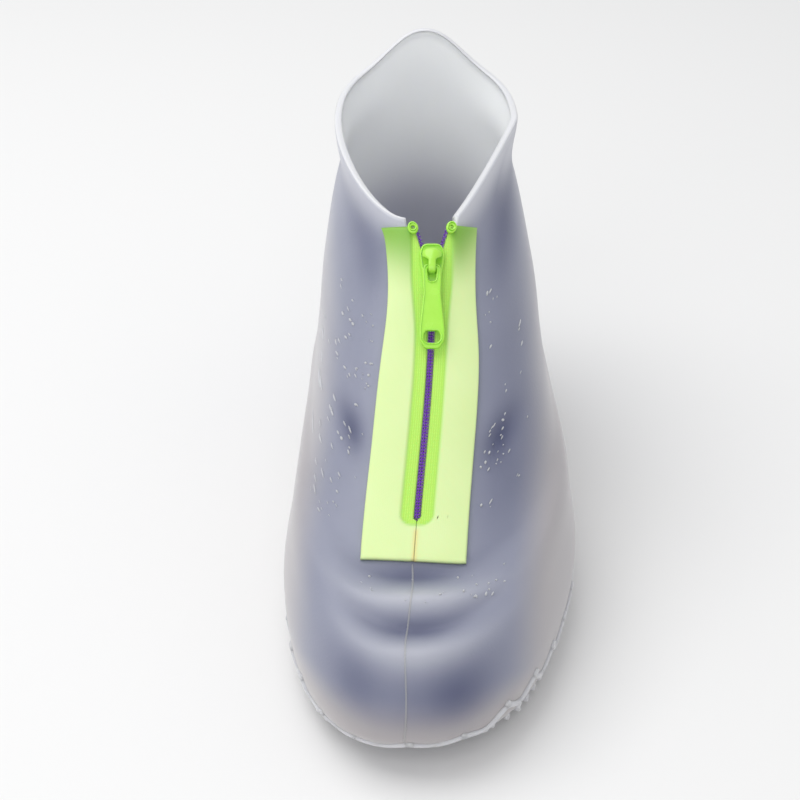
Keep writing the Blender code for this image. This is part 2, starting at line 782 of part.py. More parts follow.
def stop_frame(side):
    """Place of one top stop on its tape."""
    level = level_at(STOP_DEPTH)
    origin = skin(level, turn_at(level, side * STOP_SIDE))
    lower = level_at(STOP_DEPTH + 0.004)
    ahead = skin(lower, turn_at(lower, side * part_half(STOP_DEPTH + 0.004)))
    behind = skin(level, turn_at(level, side * part_half(STOP_DEPTH)))
    out = unit(skin_normal(level, turn_at(level, side * STOP_SIDE)))
    along = unit(ahead - behind)
    across = unit(np.cross(out, along))
    along = unit(np.cross(across, out))
    return origin, along, across, out


def build():
    """Makes every piece."""
    for item in list(bpy.data.objects):
        bpy.data.objects.remove(item)
    silicone = plastic("frosted_silicone", (0.62, 0.62, 0.68), 0.42)
    cloth = plastic("lime_tape", (0.62, 0.90, 0.28), 0.75)
    purple = plastic("purple_teeth", (0.16, 0.03, 0.42), 0.40)
    lime = plastic("lime_plastic", (0.42, 0.86, 0.08), 0.30)

    outer, inner, cells = skin_layers()
    rib_vertices, rib_faces = tread()
    wave_vertices, wave_faces = side_wave()
    everything = np.array(list(outer.values()) + list(rib_vertices) + list(wave_vertices))
    shift = -(everything.min(axis=0) + everything.max(axis=0)) / 2.0 * np.array((1.0, 1.0, 0.0))

    def moved(vertices):
        return [np.array(v) + shift for v in vertices]

    vertices, faces = layered(outer, inner, cells)
    shell = finish("shell", moved(vertices), faces, silicone)
    ribs = finish("tread_helper", moved(rib_vertices), rib_faces, None, hidden=True)
    wave = finish("wave_helper", moved(wave_vertices), wave_faces, None, hidden=True)
    united(shell, [ribs, wave])

    for side, label in ((-1, "left"), (1, "right")):
        vertices, faces = layered(*tape_layers(side))
        finish("tape_" + label, moved(vertices), faces, cloth)
        vertices, faces = layered(*chain_layers(side))
        finish("teeth_" + label, moved(vertices), faces, purple)
        vertices, faces = stop_bead(stop_frame(side), side)
        finish("top_stop_" + label, moved(vertices), faces, lime)

    frame = slider_frame()
    half_length = SLIDER_LENGTH / 2.0
    plan = (
        (-half_length, SLIDER_BACK_HALF * 0.80, 0.0),
        (-half_length * 0.84, SLIDER_BACK_HALF, 0.0),
        (-half_length * 0.25, SLIDER_BACK_HALF * 0.97, 0.0),
        (half_length * 0.35, SLIDER_FRONT_HALF, 0.0),
        (half_length * 0.88, SLIDER_FRONT_HALF, 0.0),
        (half_length, SLIDER_FRONT_HALF * 0.75, 0.0),
    )
    vertices, faces = plate(frame, plan, SLIDER_FLOOR, SLIDER_FLOOR + SLIDER_WALL)
    slider = finish("slider", moved(vertices), faces, lime)
    post_low = -SHOE_DROP - SHOE_WALL / 2.0
    post_high = SLIDER_FLOOR + SLIDER_WALL / 2.0
    post_run = (-half_length * 0.95, -half_length * 0.55)
    vertices, faces = block(frame, post_run, 0.0022, 0.0012, post_low, post_high)
    post = finish("slider_post_helper", moved(vertices), faces, None, hidden=True)
    shoe_run = (-half_length * 0.97, half_length * 0.80)
    vertices, faces = block(frame, shoe_run, 0.0040, 0.0034, -SHOE_DROP - SHOE_WALL, -SHOE_DROP)
    shoe = finish("slider_shoe_helper", moved(vertices), faces, None, hidden=True)
    vertices, faces = bridge(frame, SLIDER_FLOOR)
    arch = finish("slider_bridge_helper", moved(vertices), faces, None, hidden=True)
    united(slider, [post, shoe, arch])

    bar = PULL_WALL / 2.0
    hole = PULL_NECK_HALF - 0.0014
    ring_end = PIVOT_AHEAD + 0.0062
    tab_plan = (
        (PIVOT_AHEAD - bar, PULL_NECK_HALF * 0.80, 0.0),
        (PIVOT_AHEAD + bar, PULL_NECK_HALF, hole),
        (ring_end - 0.0010, PULL_NECK_HALF, hole),
        (ring_end, PULL_NECK_HALF, hole * 0.45),
        (ring_end + 0.0017, PULL_NECK_HALF * 0.94, 0.0),
        (PULL_LENGTH * 0.55, (PULL_HALF + PULL_NECK_HALF) / 2.0, 0.0),
        (PULL_LENGTH * 0.785, PULL_HALF, 0.0),
        (PULL_LENGTH * 0.800, PULL_HALF, 0.0020),
        (PULL_LENGTH * 0.830, PULL_HALF, 0.0029),
        (PULL_LENGTH * 0.900, PULL_HALF * 0.97, 0.0029),
        (PULL_LENGTH * 0.935, PULL_HALF * 0.86, 0.0020),
        (PULL_LENGTH * 0.970, PULL_HALF * 0.70, 0.0),
        (PULL_LENGTH, PULL_HALF * 0.42, 0.0),
    )
    vertices, faces = plate(frame, tab_plan, PIVOT_HEIGHT - bar, PIVOT_HEIGHT + bar)
    pivot = placed(frame, PIVOT_AHEAD, 0.0, PIVOT_HEIGHT) + shift
    pull = finish("pull_tab", [v - pivot for v in moved(vertices)], faces, lime)
    pull.location = [float(c) for c in pivot]


build()
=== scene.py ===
import math

import bmesh
import bpy
import numpy as np
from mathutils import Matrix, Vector
from mathutils.geometry import delaunay_2d_cdt


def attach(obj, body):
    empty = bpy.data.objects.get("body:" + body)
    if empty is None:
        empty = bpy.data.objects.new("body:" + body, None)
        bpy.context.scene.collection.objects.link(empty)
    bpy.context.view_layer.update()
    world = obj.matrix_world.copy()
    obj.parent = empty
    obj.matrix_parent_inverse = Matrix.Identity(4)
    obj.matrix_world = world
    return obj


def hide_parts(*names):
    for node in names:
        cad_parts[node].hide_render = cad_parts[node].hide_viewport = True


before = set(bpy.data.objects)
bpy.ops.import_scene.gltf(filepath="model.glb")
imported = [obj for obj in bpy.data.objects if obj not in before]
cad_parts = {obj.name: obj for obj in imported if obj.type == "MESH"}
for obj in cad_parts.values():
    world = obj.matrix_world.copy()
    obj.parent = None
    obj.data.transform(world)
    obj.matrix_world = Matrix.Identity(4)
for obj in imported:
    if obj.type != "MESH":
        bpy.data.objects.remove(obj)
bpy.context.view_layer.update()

# Foot and collar sizes, the same as the solids'
LENGTH = 0.290
BALL_WIDTH = 0.1065
WAIST_WIDTH = 0.0941
HEEL_WIDTH = 0.087
BALL_STATION = 0.0813
WAIST_STATION = 0.1796
HEEL_STATION = 0.240
BALL_SKEW = 0.052
SIDE_BLUNTNESS = 0.088
TOE_SWING = 0.0114
TOE_SPRING = 0.009
SPRING_LENGTH = 0.085
SPRING_HEIGHT = 0.060
COLLAR_WIDTH = 0.0678
THROAT_STATION = 0.1613
THROAT_HEIGHT = 0.1230
BACK_HEIGHT = 0.1385
HEEL_LEAN = 0.0100
COLLAR_BACKSET = 0.518
COLLAR_SKEW = -0.315
RIM_FLARE = 0.055
NOSE_HALF = 0.0081
NOSE_TURN = 0.10
TAB_RISE = 0.0145
TAB_SPREAD = 0.485
WALL = 0.0016
RIM_WALL = 0.0028
RIM_DEPTH = 0.0038
SOLE = 0.0030
TREAD = 0.0020
CENTRE = np.array((0.00129294, 0.00034423, 0.0))

# Rings of the skin from the sole's edge up to the rim. Columns: front station, front height, heel inset, back
# height, width, share of collar, bluntness in front and behind.
RINGS = np.array((
    (0.035, 0.000, 0.35, 0.000, 0.902, 0.00, 2.35, 2.20),
    (0.000, 0.060, 0.05, 0.060, 0.976, 0.00, 2.35, 2.20),
    (0.010, 0.170, 0.02, 0.200, 1.013, 0.00, 2.35, 2.20),
    (0.070, 0.280, 0.10, 0.330, 0.985, 0.02, 2.35, 2.20),
    (0.180, 0.345, 0.25, 0.440, 0.984, 0.06, 2.35, 2.20),
    (0.330, 0.395, 0.42, 0.540, 0.950, 0.14, 2.35, 2.20),
    (0.490, 0.500, 0.60, 0.640, 0.955, 0.30, 2.40, 2.20),
    (0.650, 0.640, 0.78, 0.740, 0.994, 0.52, 2.40, 2.15),
    (0.800, 0.780, 0.93, 0.830, 0.955, 0.75, 2.35, 2.10),
    (0.920, 0.905, 1.00, 0.915, 0.630, 0.92, 1.61, 2.13),
    (1.000, 1.000, 0.90, 1.000, 0.780, 1.00, 1.46, 2.13),
))
MIDDLE_STATIONS = np.array((0.00, 0.21, 0.34, 0.46, 0.61, 0.76, 1.00, 1.37))
MIDDLE_SWINGS = np.array((1.00, 0.80, 0.71, 0.56, 0.32, 0.12, 0.08, 0.17))

# Folds and dents. Columns: distance down the front from the rim and side place in millimetres, reach
# sideways, spread down the front, height outwards, bow of the fold's ends down the front.
FOLDS = (
    (138.4, 0.0, 20.0, 4.6, -1.5, 0.0),
    (150.9, 1.1, 22.0, 4.2, 1.6, 2.0),
    (162.1, 2.1, 20.0, 4.4, -2.2, -3.0),
    (173.3, 3.2, 21.0, 4.2, 1.3, -2.0),
    (186.0, 2.1, 22.0, 6.0, -0.9, -2.0),
    (90.9, -26.6, 6.0, 8.0, -1.2, 0.0),
    (93.0, 25.6, 6.0, 8.0, -1.2, 0.0),
)

# Zip sizes. Depths are measured from the rim down the front.
SLOT_HALF = 0.0050
SLOT_MOUTH = 0.0096
SLOT_FLARE = 0.015
SLOT_END = 0.120
TAPE_TOP = 0.0038
TAPE_END = 0.1335
TAPE_HALF = 0.018
TAPE_WALL = 0.0010
TAPE_SPREAD = 0.0012
BAND_HALF = 0.0053
CHAIN_END = 0.117
CHAIN_HALF = 0.0011
PART_HALF = 0.0066
PART_START = 0.022
FIT_GAP = 0.0003
COIL_PITCH = 0.00125
COIL_RADIUS = 0.00040
WIRE_RADIUS = 0.00022

# Slider, pull tab and stops
SLIDER_DEPTH = 0.0205
SLIDER_LENGTH = 0.018
SLIDER_WALL = 0.0015
SLIDER_FLOOR = 0.0020
SLIDER_BACK_HALF = 0.0044
SLIDER_FRONT_HALF = 0.0034
BRIDGE_HALF = 0.0013
BRIDGE_WALL = 0.0012
BRIDGE_CLEAR = 0.0025
BRIDGE_BACK = 0.0070
BRIDGE_FRONT = 0.0030
PULL_LENGTH = 0.032
PULL_WALL = 0.0016
PULL_HALF = 0.0044
PULL_NECK_HALF = 0.0032
PIVOT_AHEAD = 0.0003
PIVOT_HEIGHT = 0.0048
STOP_HALF = 0.0019
STOP_LENGTH = 0.0048
STOP_WALL = 0.0016
STOP_HOLE = 0.0007
STOP_SIDE = 0.0066
STOP_DEPTH = 0.0050

# Tread and side bead
BAND_WIDTH = 0.031
RIB_WIDTH = 0.0024
RIB_WAVE = 0.0026
RIB_WAVELENGTH = 0.030
RIB_SWEEP = 0.004
RIB_MARGIN = -0.0010
FRONT_START, FRONT_END, FRONT_PITCH = 0.016, 0.088, 0.0072
HEEL_START, HEEL_END, HEEL_PITCH = 0.1945, 0.278, 0.0080
GRID_START, GRID_STEP, GRID_COLUMNS = 0.0975, 0.0170, 6
GRID_SIDES = (0.0200, 0.0370)
DOT_RADIUS = 0.0021
DASH_LENGTH = 0.0085
WAVE_LENGTH = 0.0187
WAVE_HEIGHT = 0.0108
WAVE_TILT = 0.0022
WAVE_SWING = 0.0019
WAVE_WIDTH = 0.0022
WAVE_PROUD = 0.0010

# Grid of the skin: rows above and below the slot's end, columns in the slot, under the tape and behind it. Then
# the round of its lip, and the furthest turn at which a side place is looked for.
ROWS_ABOVE, ROWS_BELOW = 92, 76
SLOT_COLUMNS, TAPE_COLUMNS, BACK_COLUMNS = 4, 11, 88
LIP_ROUND = 0.0009
TURN_LIMIT = 1.3

# Steps along a tread rib, then the side bead's steps to a wave and how it drops and calms down round the toe
RIB_STEPS = 26
WAVE_STEPS = 16
WAVE_SHIFT = 2
TOE_DROP, TOE_DROP_TILT = 0.0062, 0.0012
TOE_CALM = 0.55

# Spurs of the side bead. Columns: step of the wave, reach up or down the side, width.
SPURS = (
    (4, 0.0019, 0.0029),
    (12, -0.0052, 0.0027),
)

# A tape's outer edge against the solid's: trimmed all along, drawn in beside the slider, flared at its top.
# Then the direction that its ends are cut square to, its grid, and the film that laps it.
TAPE_TRIM = 0.0004
DRAWN_IN, DRAWN_IN_DEPTH, DRAWN_IN_SPREAD = 0.0022, 0.029, 0.024
SPREAD_SHARE = 1.3
TOP_FLARE, TOP_FLARE_DEPTH = 0.0024, 0.012
CUT_UP = np.array((0.0, 0.49, 0.87))
TAPE_ROWS, TAPE_STEPS = 150, 46
FILM_END = 0.1195
FILM_CORNER = 0.0040
FILM_STEP = 0.00035

# Coil: steps to a turn of the wire, and height of its axis above the tape's underside
COIL_STEPS = 12
COIL_RISE = 0.00078

# Darker patches of the skin: painted shade in dents, round the toe and down the right flank, partly the dark of
# a
# shoe showing through. Columns: distance down the front and side place in millimetres, spread down the front,
# reach sideways, darkness.
SHADE_AND_DARK_PATCHES = (
    (22.0, -24.0, 13.0, 7.0, 0.55),
    (26.0, 28.0, 13.0, 8.0, 0.80),
    (91.0, -27.0, 9.0, 6.0, 0.4),
    (93.0, 27.0, 9.0, 6.0, 0.2),
    (184.0, -17.0, 9.0, 9.0, 0.40),
    (187.0, 18.0, 10.0, 11.0, 0.62),
    (194.0, 0.0, 7.0, 20.0, 0.25),
    (60.0, 30.0, 30.0, 10.0, 0.35),
    (112.0, 30.0, 26.0, 12.0, 0.45),
    (138.0, 0.0, 5.0, 20.0, 0.30),
)

# Patches of air bubbles. Columns: nearest and furthest distance down the front, left and right side place, all
# in millimetres, and how many are drawn. Then their sizes, and the turn past which they are left out.
BUBBLE_PATCHES = (
    (40, 75, -33, -19, 34),
    (76, 108, -40, -21, 26),
    (84, 104, 21, 30, 18),
    (106, 140, -44, -21, 34),
    (146, 158, 19, 32, 12),
    (30, 60, 19, 24, 8),
    (139, 156, -18, 20, 12),
    (60, 120, 20, 40, 16),
)
BUBBLE_SMALL, BUBBLE_LARGE = 0.00018, 0.00046
BUBBLE_TURN = 1.28

# Colours
SILICONE_DEEP, SILICONE_HAZY = (0.230, 0.245, 0.325), (0.300, 0.310, 0.395)
SILICONE_WARM = (0.430, 0.400, 0.400)
# Painted shade of dents and patches, partly also the dark of a shoe showing through
SILICONE_SHADE_AND_DARK = (0.075, 0.085, 0.165)
# Milky paleness of the rim, also the painted highlight on fold ridges and part of the painted light inside
SILICONE_MILK_AND_PAINTED_LIGHT = (0.77, 0.77, 0.79)
# Painted light of the upper inner wall
SILICONE_INNER_PAINTED_LIGHT = (0.93, 0.95, 0.96)
WEAVE_LOW, WEAVE_HIGH = (0.44, 0.78, 0.10), (0.60, 0.96, 0.20)
FILM_LOW, FILM_HIGH = (0.64, 0.81, 0.33), (0.72, 0.85, 0.43)
TAPE_TOP_GREEN = (0.23, 0.48, 0.06)
LIP_GREEN = (0.33, 0.66, 0.07)
SEAM_TAN = (0.80, 0.62, 0.22)
PURPLE_LOW, PURPLE_HIGH = (0.150, 0.026, 0.430), (0.215, 0.050, 0.560)
LIME_LOW, LIME_HIGH = (0.360, 0.760, 0.050), (0.440, 0.860, 0.085)
FLOOR_COLOUR = (0.862, 0.856, 0.850)

# World, soft lights and camera. Columns of the lights: name, place, size, power. Angles are in degrees.
WORLD_COLOUR, WORLD_STRENGTH = (0.97, 0.985, 1.0), 0.62
LIGHTS = (
    ("key", (-0.48, 0.20, 1.30), 1.3, 10.6),
    ("front", (-0.30, -1.2, 0.8), 1.2, 5.0),
)
LIGHT_TARGET = (0.0, 0.0, 0.05)
FLOOR_HALF = 6.0
CAMERA_AZIMUTH, CAMERA_ELEVATION = -0.177, 29.5618
CAMERA_DISTANCE = 0.730327
CAMERA_TARGET = (-0.011198, -0.009656, 0.064584)
CAMERA_LENS, SENSOR_WIDTH = 90.41, 36.0


def smooth(x):
    """Smooth step from 0 to 1: 3x^2 - 2x^3."""
    x = np.clip(x, 0.0, 1.0)
    return x * x * (3.0 - 2.0 * x)


def bell(x):
    """Bell of height one: e to the minus x squared."""
    return np.exp(-np.square(x))


def unit(vectors):
    """Vectors scaled to length one."""
    return vectors / np.maximum(np.linalg.norm(vectors, axis=-1, keepdims=True), 1e-12)


def cubic_rows(table, place):
    """Rows of an evenly spaced table at places from 0 to 1, by a cubic through the rows."""
    last = len(table) - 1
    position = np.clip(place, 0.0, 1.0) * last
    index = np.minimum(position.astype(int), last - 1)
    f = (position - index)[..., None]
    before, low, high, after = (table[np.clip(index + k, 0, last)] for k in (-1, 0, 1, 2))
    start = np.where((index == 0)[..., None], high - low, (high - before) / 2.0)
    end = np.where((index == last - 1)[..., None], high - low, (after - low) / 2.0)
    return (
        (2 * f**3 - 3 * f**2 + 1) * low
        + (f**3 - 2 * f**2 + f) * start
        + (3 * f**2 - 2 * f**3) * high
        + (f**3 - f**2) * end
    )


def middle(station):
    """Side place of the middle line at a station: the table's line averaged over a bell of its neighbours."""
    steps = np.linspace(-0.13, 0.13, 15)
    weights = bell(steps / 0.095)
    weights = weights / weights.sum()
    shares = np.asarray(station)[..., None] / THROAT_STATION + steps
    return -TOE_SWING * (np.interp(shares, MIDDLE_STATIONS, MIDDLE_SWINGS) * weights).sum(axis=-1)


def half_width(station):
    """Half width of the foot at a station: ball, waist and heel joined by smooth steps."""
    ball, waist, heel = BALL_WIDTH / 2, WAIST_WIDTH / 2, HEEL_WIDTH / 2
    to_waist = smooth((station - BALL_STATION) / (WAIST_STATION - BALL_STATION))
    to_heel = smooth((station - WAIST_STATION) / (HEEL_STATION - WAIST_STATION))
    return ball + (waist - ball) * to_waist + (heel - waist) * to_heel


def toe_lift(station):
    """Rise of the sole in front of the ball: a parabola."""
    return TOE_SPRING * np.maximum(0.0, 1.0 - np.asarray(station) / SPRING_LENGTH) ** 2


def plain_skin(level, turn):
    """Outer skin before folds: at each level an oval cap curve round the turn, from sole to collar."""
    level, turn = np.broadcast_arrays(np.asarray(level, float), np.asarray(turn, float))
    columns = np.moveaxis(cubic_rows(RINGS, level), -1, 0)
    front, front_rise, inset, back_rise, width, collar, blunt, back_blunt = columns
    side = np.where(turn >= 0.0, 1.0, -1.0)
    turn = np.abs(turn)
    cosine = np.cos(turn)
    front_station = front * THROAT_STATION
    back_station = LENGTH - inset * HEEL_LEAN
    along = (1.0 - cosine) / 2.0
    along = along + COLLAR_BACKSET * collar * along * (1.0 - along)
    station = front_station + (back_station - front_station) * along
    height = front_rise * THROAT_HEIGHT
    height = height + (back_rise * BACK_HEIGHT - height) * along
    height = height + TAB_RISE * bell((math.pi - turn) / TAB_SPREAD) * smooth((level - 0.75) / 0.25)
    ahead = blunt + side * (SIDE_BLUNTNESS * (1.0 - collar) + COLLAR_SKEW * collar)
    power = np.where(cosine > 0.0, ahead, back_blunt)
    cap = np.maximum(0.0, 1.0 - np.abs(cosine) ** power) ** (1.0 / power)
    half = half_width(station) * width * (1.0 - collar) + collar * COLLAR_WIDTH / 2.0
    half = half * (1.0 + RIM_FLARE * smooth((level - 0.88) / 0.12) * (1.0 + 0.5 * cosine))
    skew = BALL_SKEW * (1.0 - collar) * (1.0 - smooth((station - 0.045) / (WAIST_STATION - 0.045)))
    nose = np.minimum(NOSE_HALF * collar, half * 0.6)
    nosed = nose * np.tanh(turn / NOSE_TURN) + (half - nose) * cap
    reach = np.where(cosine > 0.0, nosed, half * cap)
    x = middle(station) + reach * (side + skew)
    height = height + TREAD + toe_lift(station) * np.maximum(0.0, 1.0 - height / SPRING_HEIGHT)
    return np.stack((x, station - LENGTH / 2.0, height), axis=-1) + CENTRE


def skin_normal(level, turn):
    """Outward direction of the plain skin, from its slopes up and around."""
    level, turn = np.broadcast_arrays(np.asarray(level, float), np.asarray(turn, float))
    up = plain_skin(np.minimum(level + 0.004, 1.0), turn) - plain_skin(np.maximum(level - 0.004, 0.0), turn)
    ahead = np.where(turn + 0.02 > math.pi, turn + 0.02 - 2.0 * math.pi, turn + 0.02)
    around = plain_skin(level, ahead) - plain_skin(level, turn - 0.02)
    return unit(np.cross(around, up))


FRONT_LEVELS = np.linspace(1.0, 0.0, 801)
FRONT_LINE = plain_skin(FRONT_LEVELS, 0.0)
FRONT_DEPTHS = np.concatenate(([0.0], np.cumsum(np.linalg.norm(np.diff(FRONT_LINE, axis=0), axis=1))))
FRONT_LENGTH = float(FRONT_DEPTHS[-1])


def level_at(depth):
    """Level at a distance from the rim down the front."""
    return np.interp(depth, FRONT_DEPTHS, FRONT_LEVELS)


def turn_at(level, place):
    """Turn at which a level's ring is a given distance sideways from the front line, by halving."""
    level, place = np.broadcast_arrays(np.asarray(level, float), np.asarray(place, float))
    side = np.where(place > 0.0, 1.0, -1.0)
    front = plain_skin(level, 0.0)[..., 0]
    low, high = np.zeros(level.shape), np.full(level.shape, TURN_LIMIT)
    for _ in range(34):
        turn = (low + high) / 2.0
        short = np.abs(plain_skin(level, side * turn)[..., 0] - front) < np.abs(place)
        low, high = np.where(short, turn, low), np.where(short, high, turn)
    return np.where(np.abs(place) < 1e-9, 0.0, side * (low + high) / 2.0)


def down_and_across(level, point):
    """Distance down the front and side place of skin points, both in millimetres."""
    depth = np.interp(-level, -FRONT_LEVELS, FRONT_DEPTHS)
    across = point[..., 0] - CENTRE[0] - middle(point[..., 1] - CENTRE[1] + LENGTH / 2.0)
    return depth * 1000.0, across * 1000.0


def fold_push(level, turn, point):
    """Outward push of the folds: a sum of bells across and down the front, each with bowed ends."""
    depth, across = down_and_across(level, point)
    push = np.zeros(depth.shape)
    for fold_depth, side, reach, spread, height, bow in FOLDS:
        sideways = (across - side) / reach
        down = (depth - fold_depth - bow * sideways**2) / spread
        push += height / 1000.0 * bell(sideways) * bell(down)
    return push * (1.0 - smooth((np.abs(turn) - 1.2) / 0.4))


def skin(level, turn, lift=0.0):
    """Point of the folded skin, lifted outwards by a distance."""
    level, turn = np.broadcast_arrays(np.asarray(level, float), np.asarray(turn, float))
    point = plain_skin(level, turn)
    push = fold_push(level, turn, point) + lift
    return point + skin_normal(level, turn) * push[..., None]


def slot_half(depth):
    """Half width of the zip's slot in the skin, flaring smoothly at its mouth."""
    return SLOT_HALF + (SLOT_MOUTH - SLOT_HALF) * smooth(1.0 - depth / SLOT_FLARE)


def part_half(depth):
    """Distance of a tape's inner edge from the middle: it parts in a straight V above the slider."""
    closed = CHAIN_HALF + FIT_GAP
    share = np.clip((PART_START - depth) / (PART_START - TAPE_TOP), 0.0, None)
    return np.where(depth > CHAIN_END, FIT_GAP * 0.5, closed + (PART_HALF - closed) * share)


def raised(depth, place, height):
    """Point above the skin at a depth, a side place and a height, straight across the zip's slot."""
    depth, place, height = np.broadcast_arrays(depth, place, height)
    level = level_at(depth)
    side = np.where(place > 0.0, 1.0, -1.0)
    slot = slot_half(depth)
    on_skin = skin(level, turn_at(level, place), height)
    edge = skin(level, turn_at(level, side * slot), height)
    share = (np.abs(place) / slot)[..., None]
    across = skin(level, np.zeros(level.shape), height) * (1.0 - share) + edge * share
    return np.where(share < 1.0, across, on_skin)


def make_piece(name, points, faces, material, body="cover", replaces=(), attributes=None, uv=None):
    """Smooth closed mesh object, its faces turned outwards and unused points left out, riding on a body."""
    points = np.asarray(points, float).reshape(-1, 3)
    flat = np.fromiter((index for face in faces for index in face), int)
    used, numbers = np.unique(flat, return_inverse=True)
    counts = np.fromiter((len(face) for face in faces), int)
    mesh = bpy.data.meshes.new(name)
    mesh.vertices.add(len(used))
    mesh.vertices.foreach_set("co", points[used].astype(np.float32).ravel())
    mesh.loops.add(len(flat))
    mesh.loops.foreach_set("vertex_index", numbers.astype(np.int32).ravel())
    mesh.polygons.add(len(counts))
    mesh.polygons.foreach_set("loop_start", np.concatenate(([0], np.cumsum(counts)[:-1])).astype(np.int32))
    mesh.polygons.foreach_set("use_smooth", np.ones(len(counts), bool))
    for key, values in (attributes or {}).items():
        layer = mesh.attributes.new(key, "FLOAT", "POINT")
        layer.data.foreach_set("value", np.asarray(values, float).ravel()[used].astype(np.float32))
    mesh.update(calc_edges=True)
    if uv is not None:
        layer = mesh.uv_layers.new(name="UVMap")
        layer.data.foreach_set("uv", np.asarray(uv, float).reshape(-1, 2)[flat].astype(np.float32).ravel())
    mesh.validate()
    work = bmesh.new()
    work.from_mesh(mesh)
    bmesh.ops.recalc_face_normals(work, faces=work.faces)
    if work.calc_volume(signed=True) < 0.0:
        bmesh.ops.reverse_faces(work, faces=work.faces)
    work.to_mesh(mesh)
    work.free()
    item = bpy.data.objects.new(name, mesh)
    bpy.context.scene.collection.objects.link(item)
    item.data.materials.append(material)
    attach(item, body)
    if replaces:
        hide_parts(*replaces)
    return item


def strip(first, second, closed=False):
    """Quads between two equally long rows of point numbers."""
    first, second = np.asarray(first), np.asarray(second)
    if closed:
        first, second = np.append(first, first[0]), np.append(second, second[0])
    return np.stack((first[:-1], first[1:], second[1:], second[:-1]), axis=-1).tolist()


def joined(parts):
    """One list of points and faces from several."""
    points, faces, start = [], [], 0
    for part_points, part_faces in parts:
        part_points = np.asarray(part_points).reshape(-1, 3)
        points.append(part_points)
        faces += [[index + start for index in face] for face in part_faces]
        start += len(part_points)
    return np.concatenate(points), faces


def sharpen(item, degrees):
    """Marks edges sharper than an angle, so that flat and round faces shade apart."""
    item.data.set_sharp_from_angle(angle=math.radians(degrees))
    return item


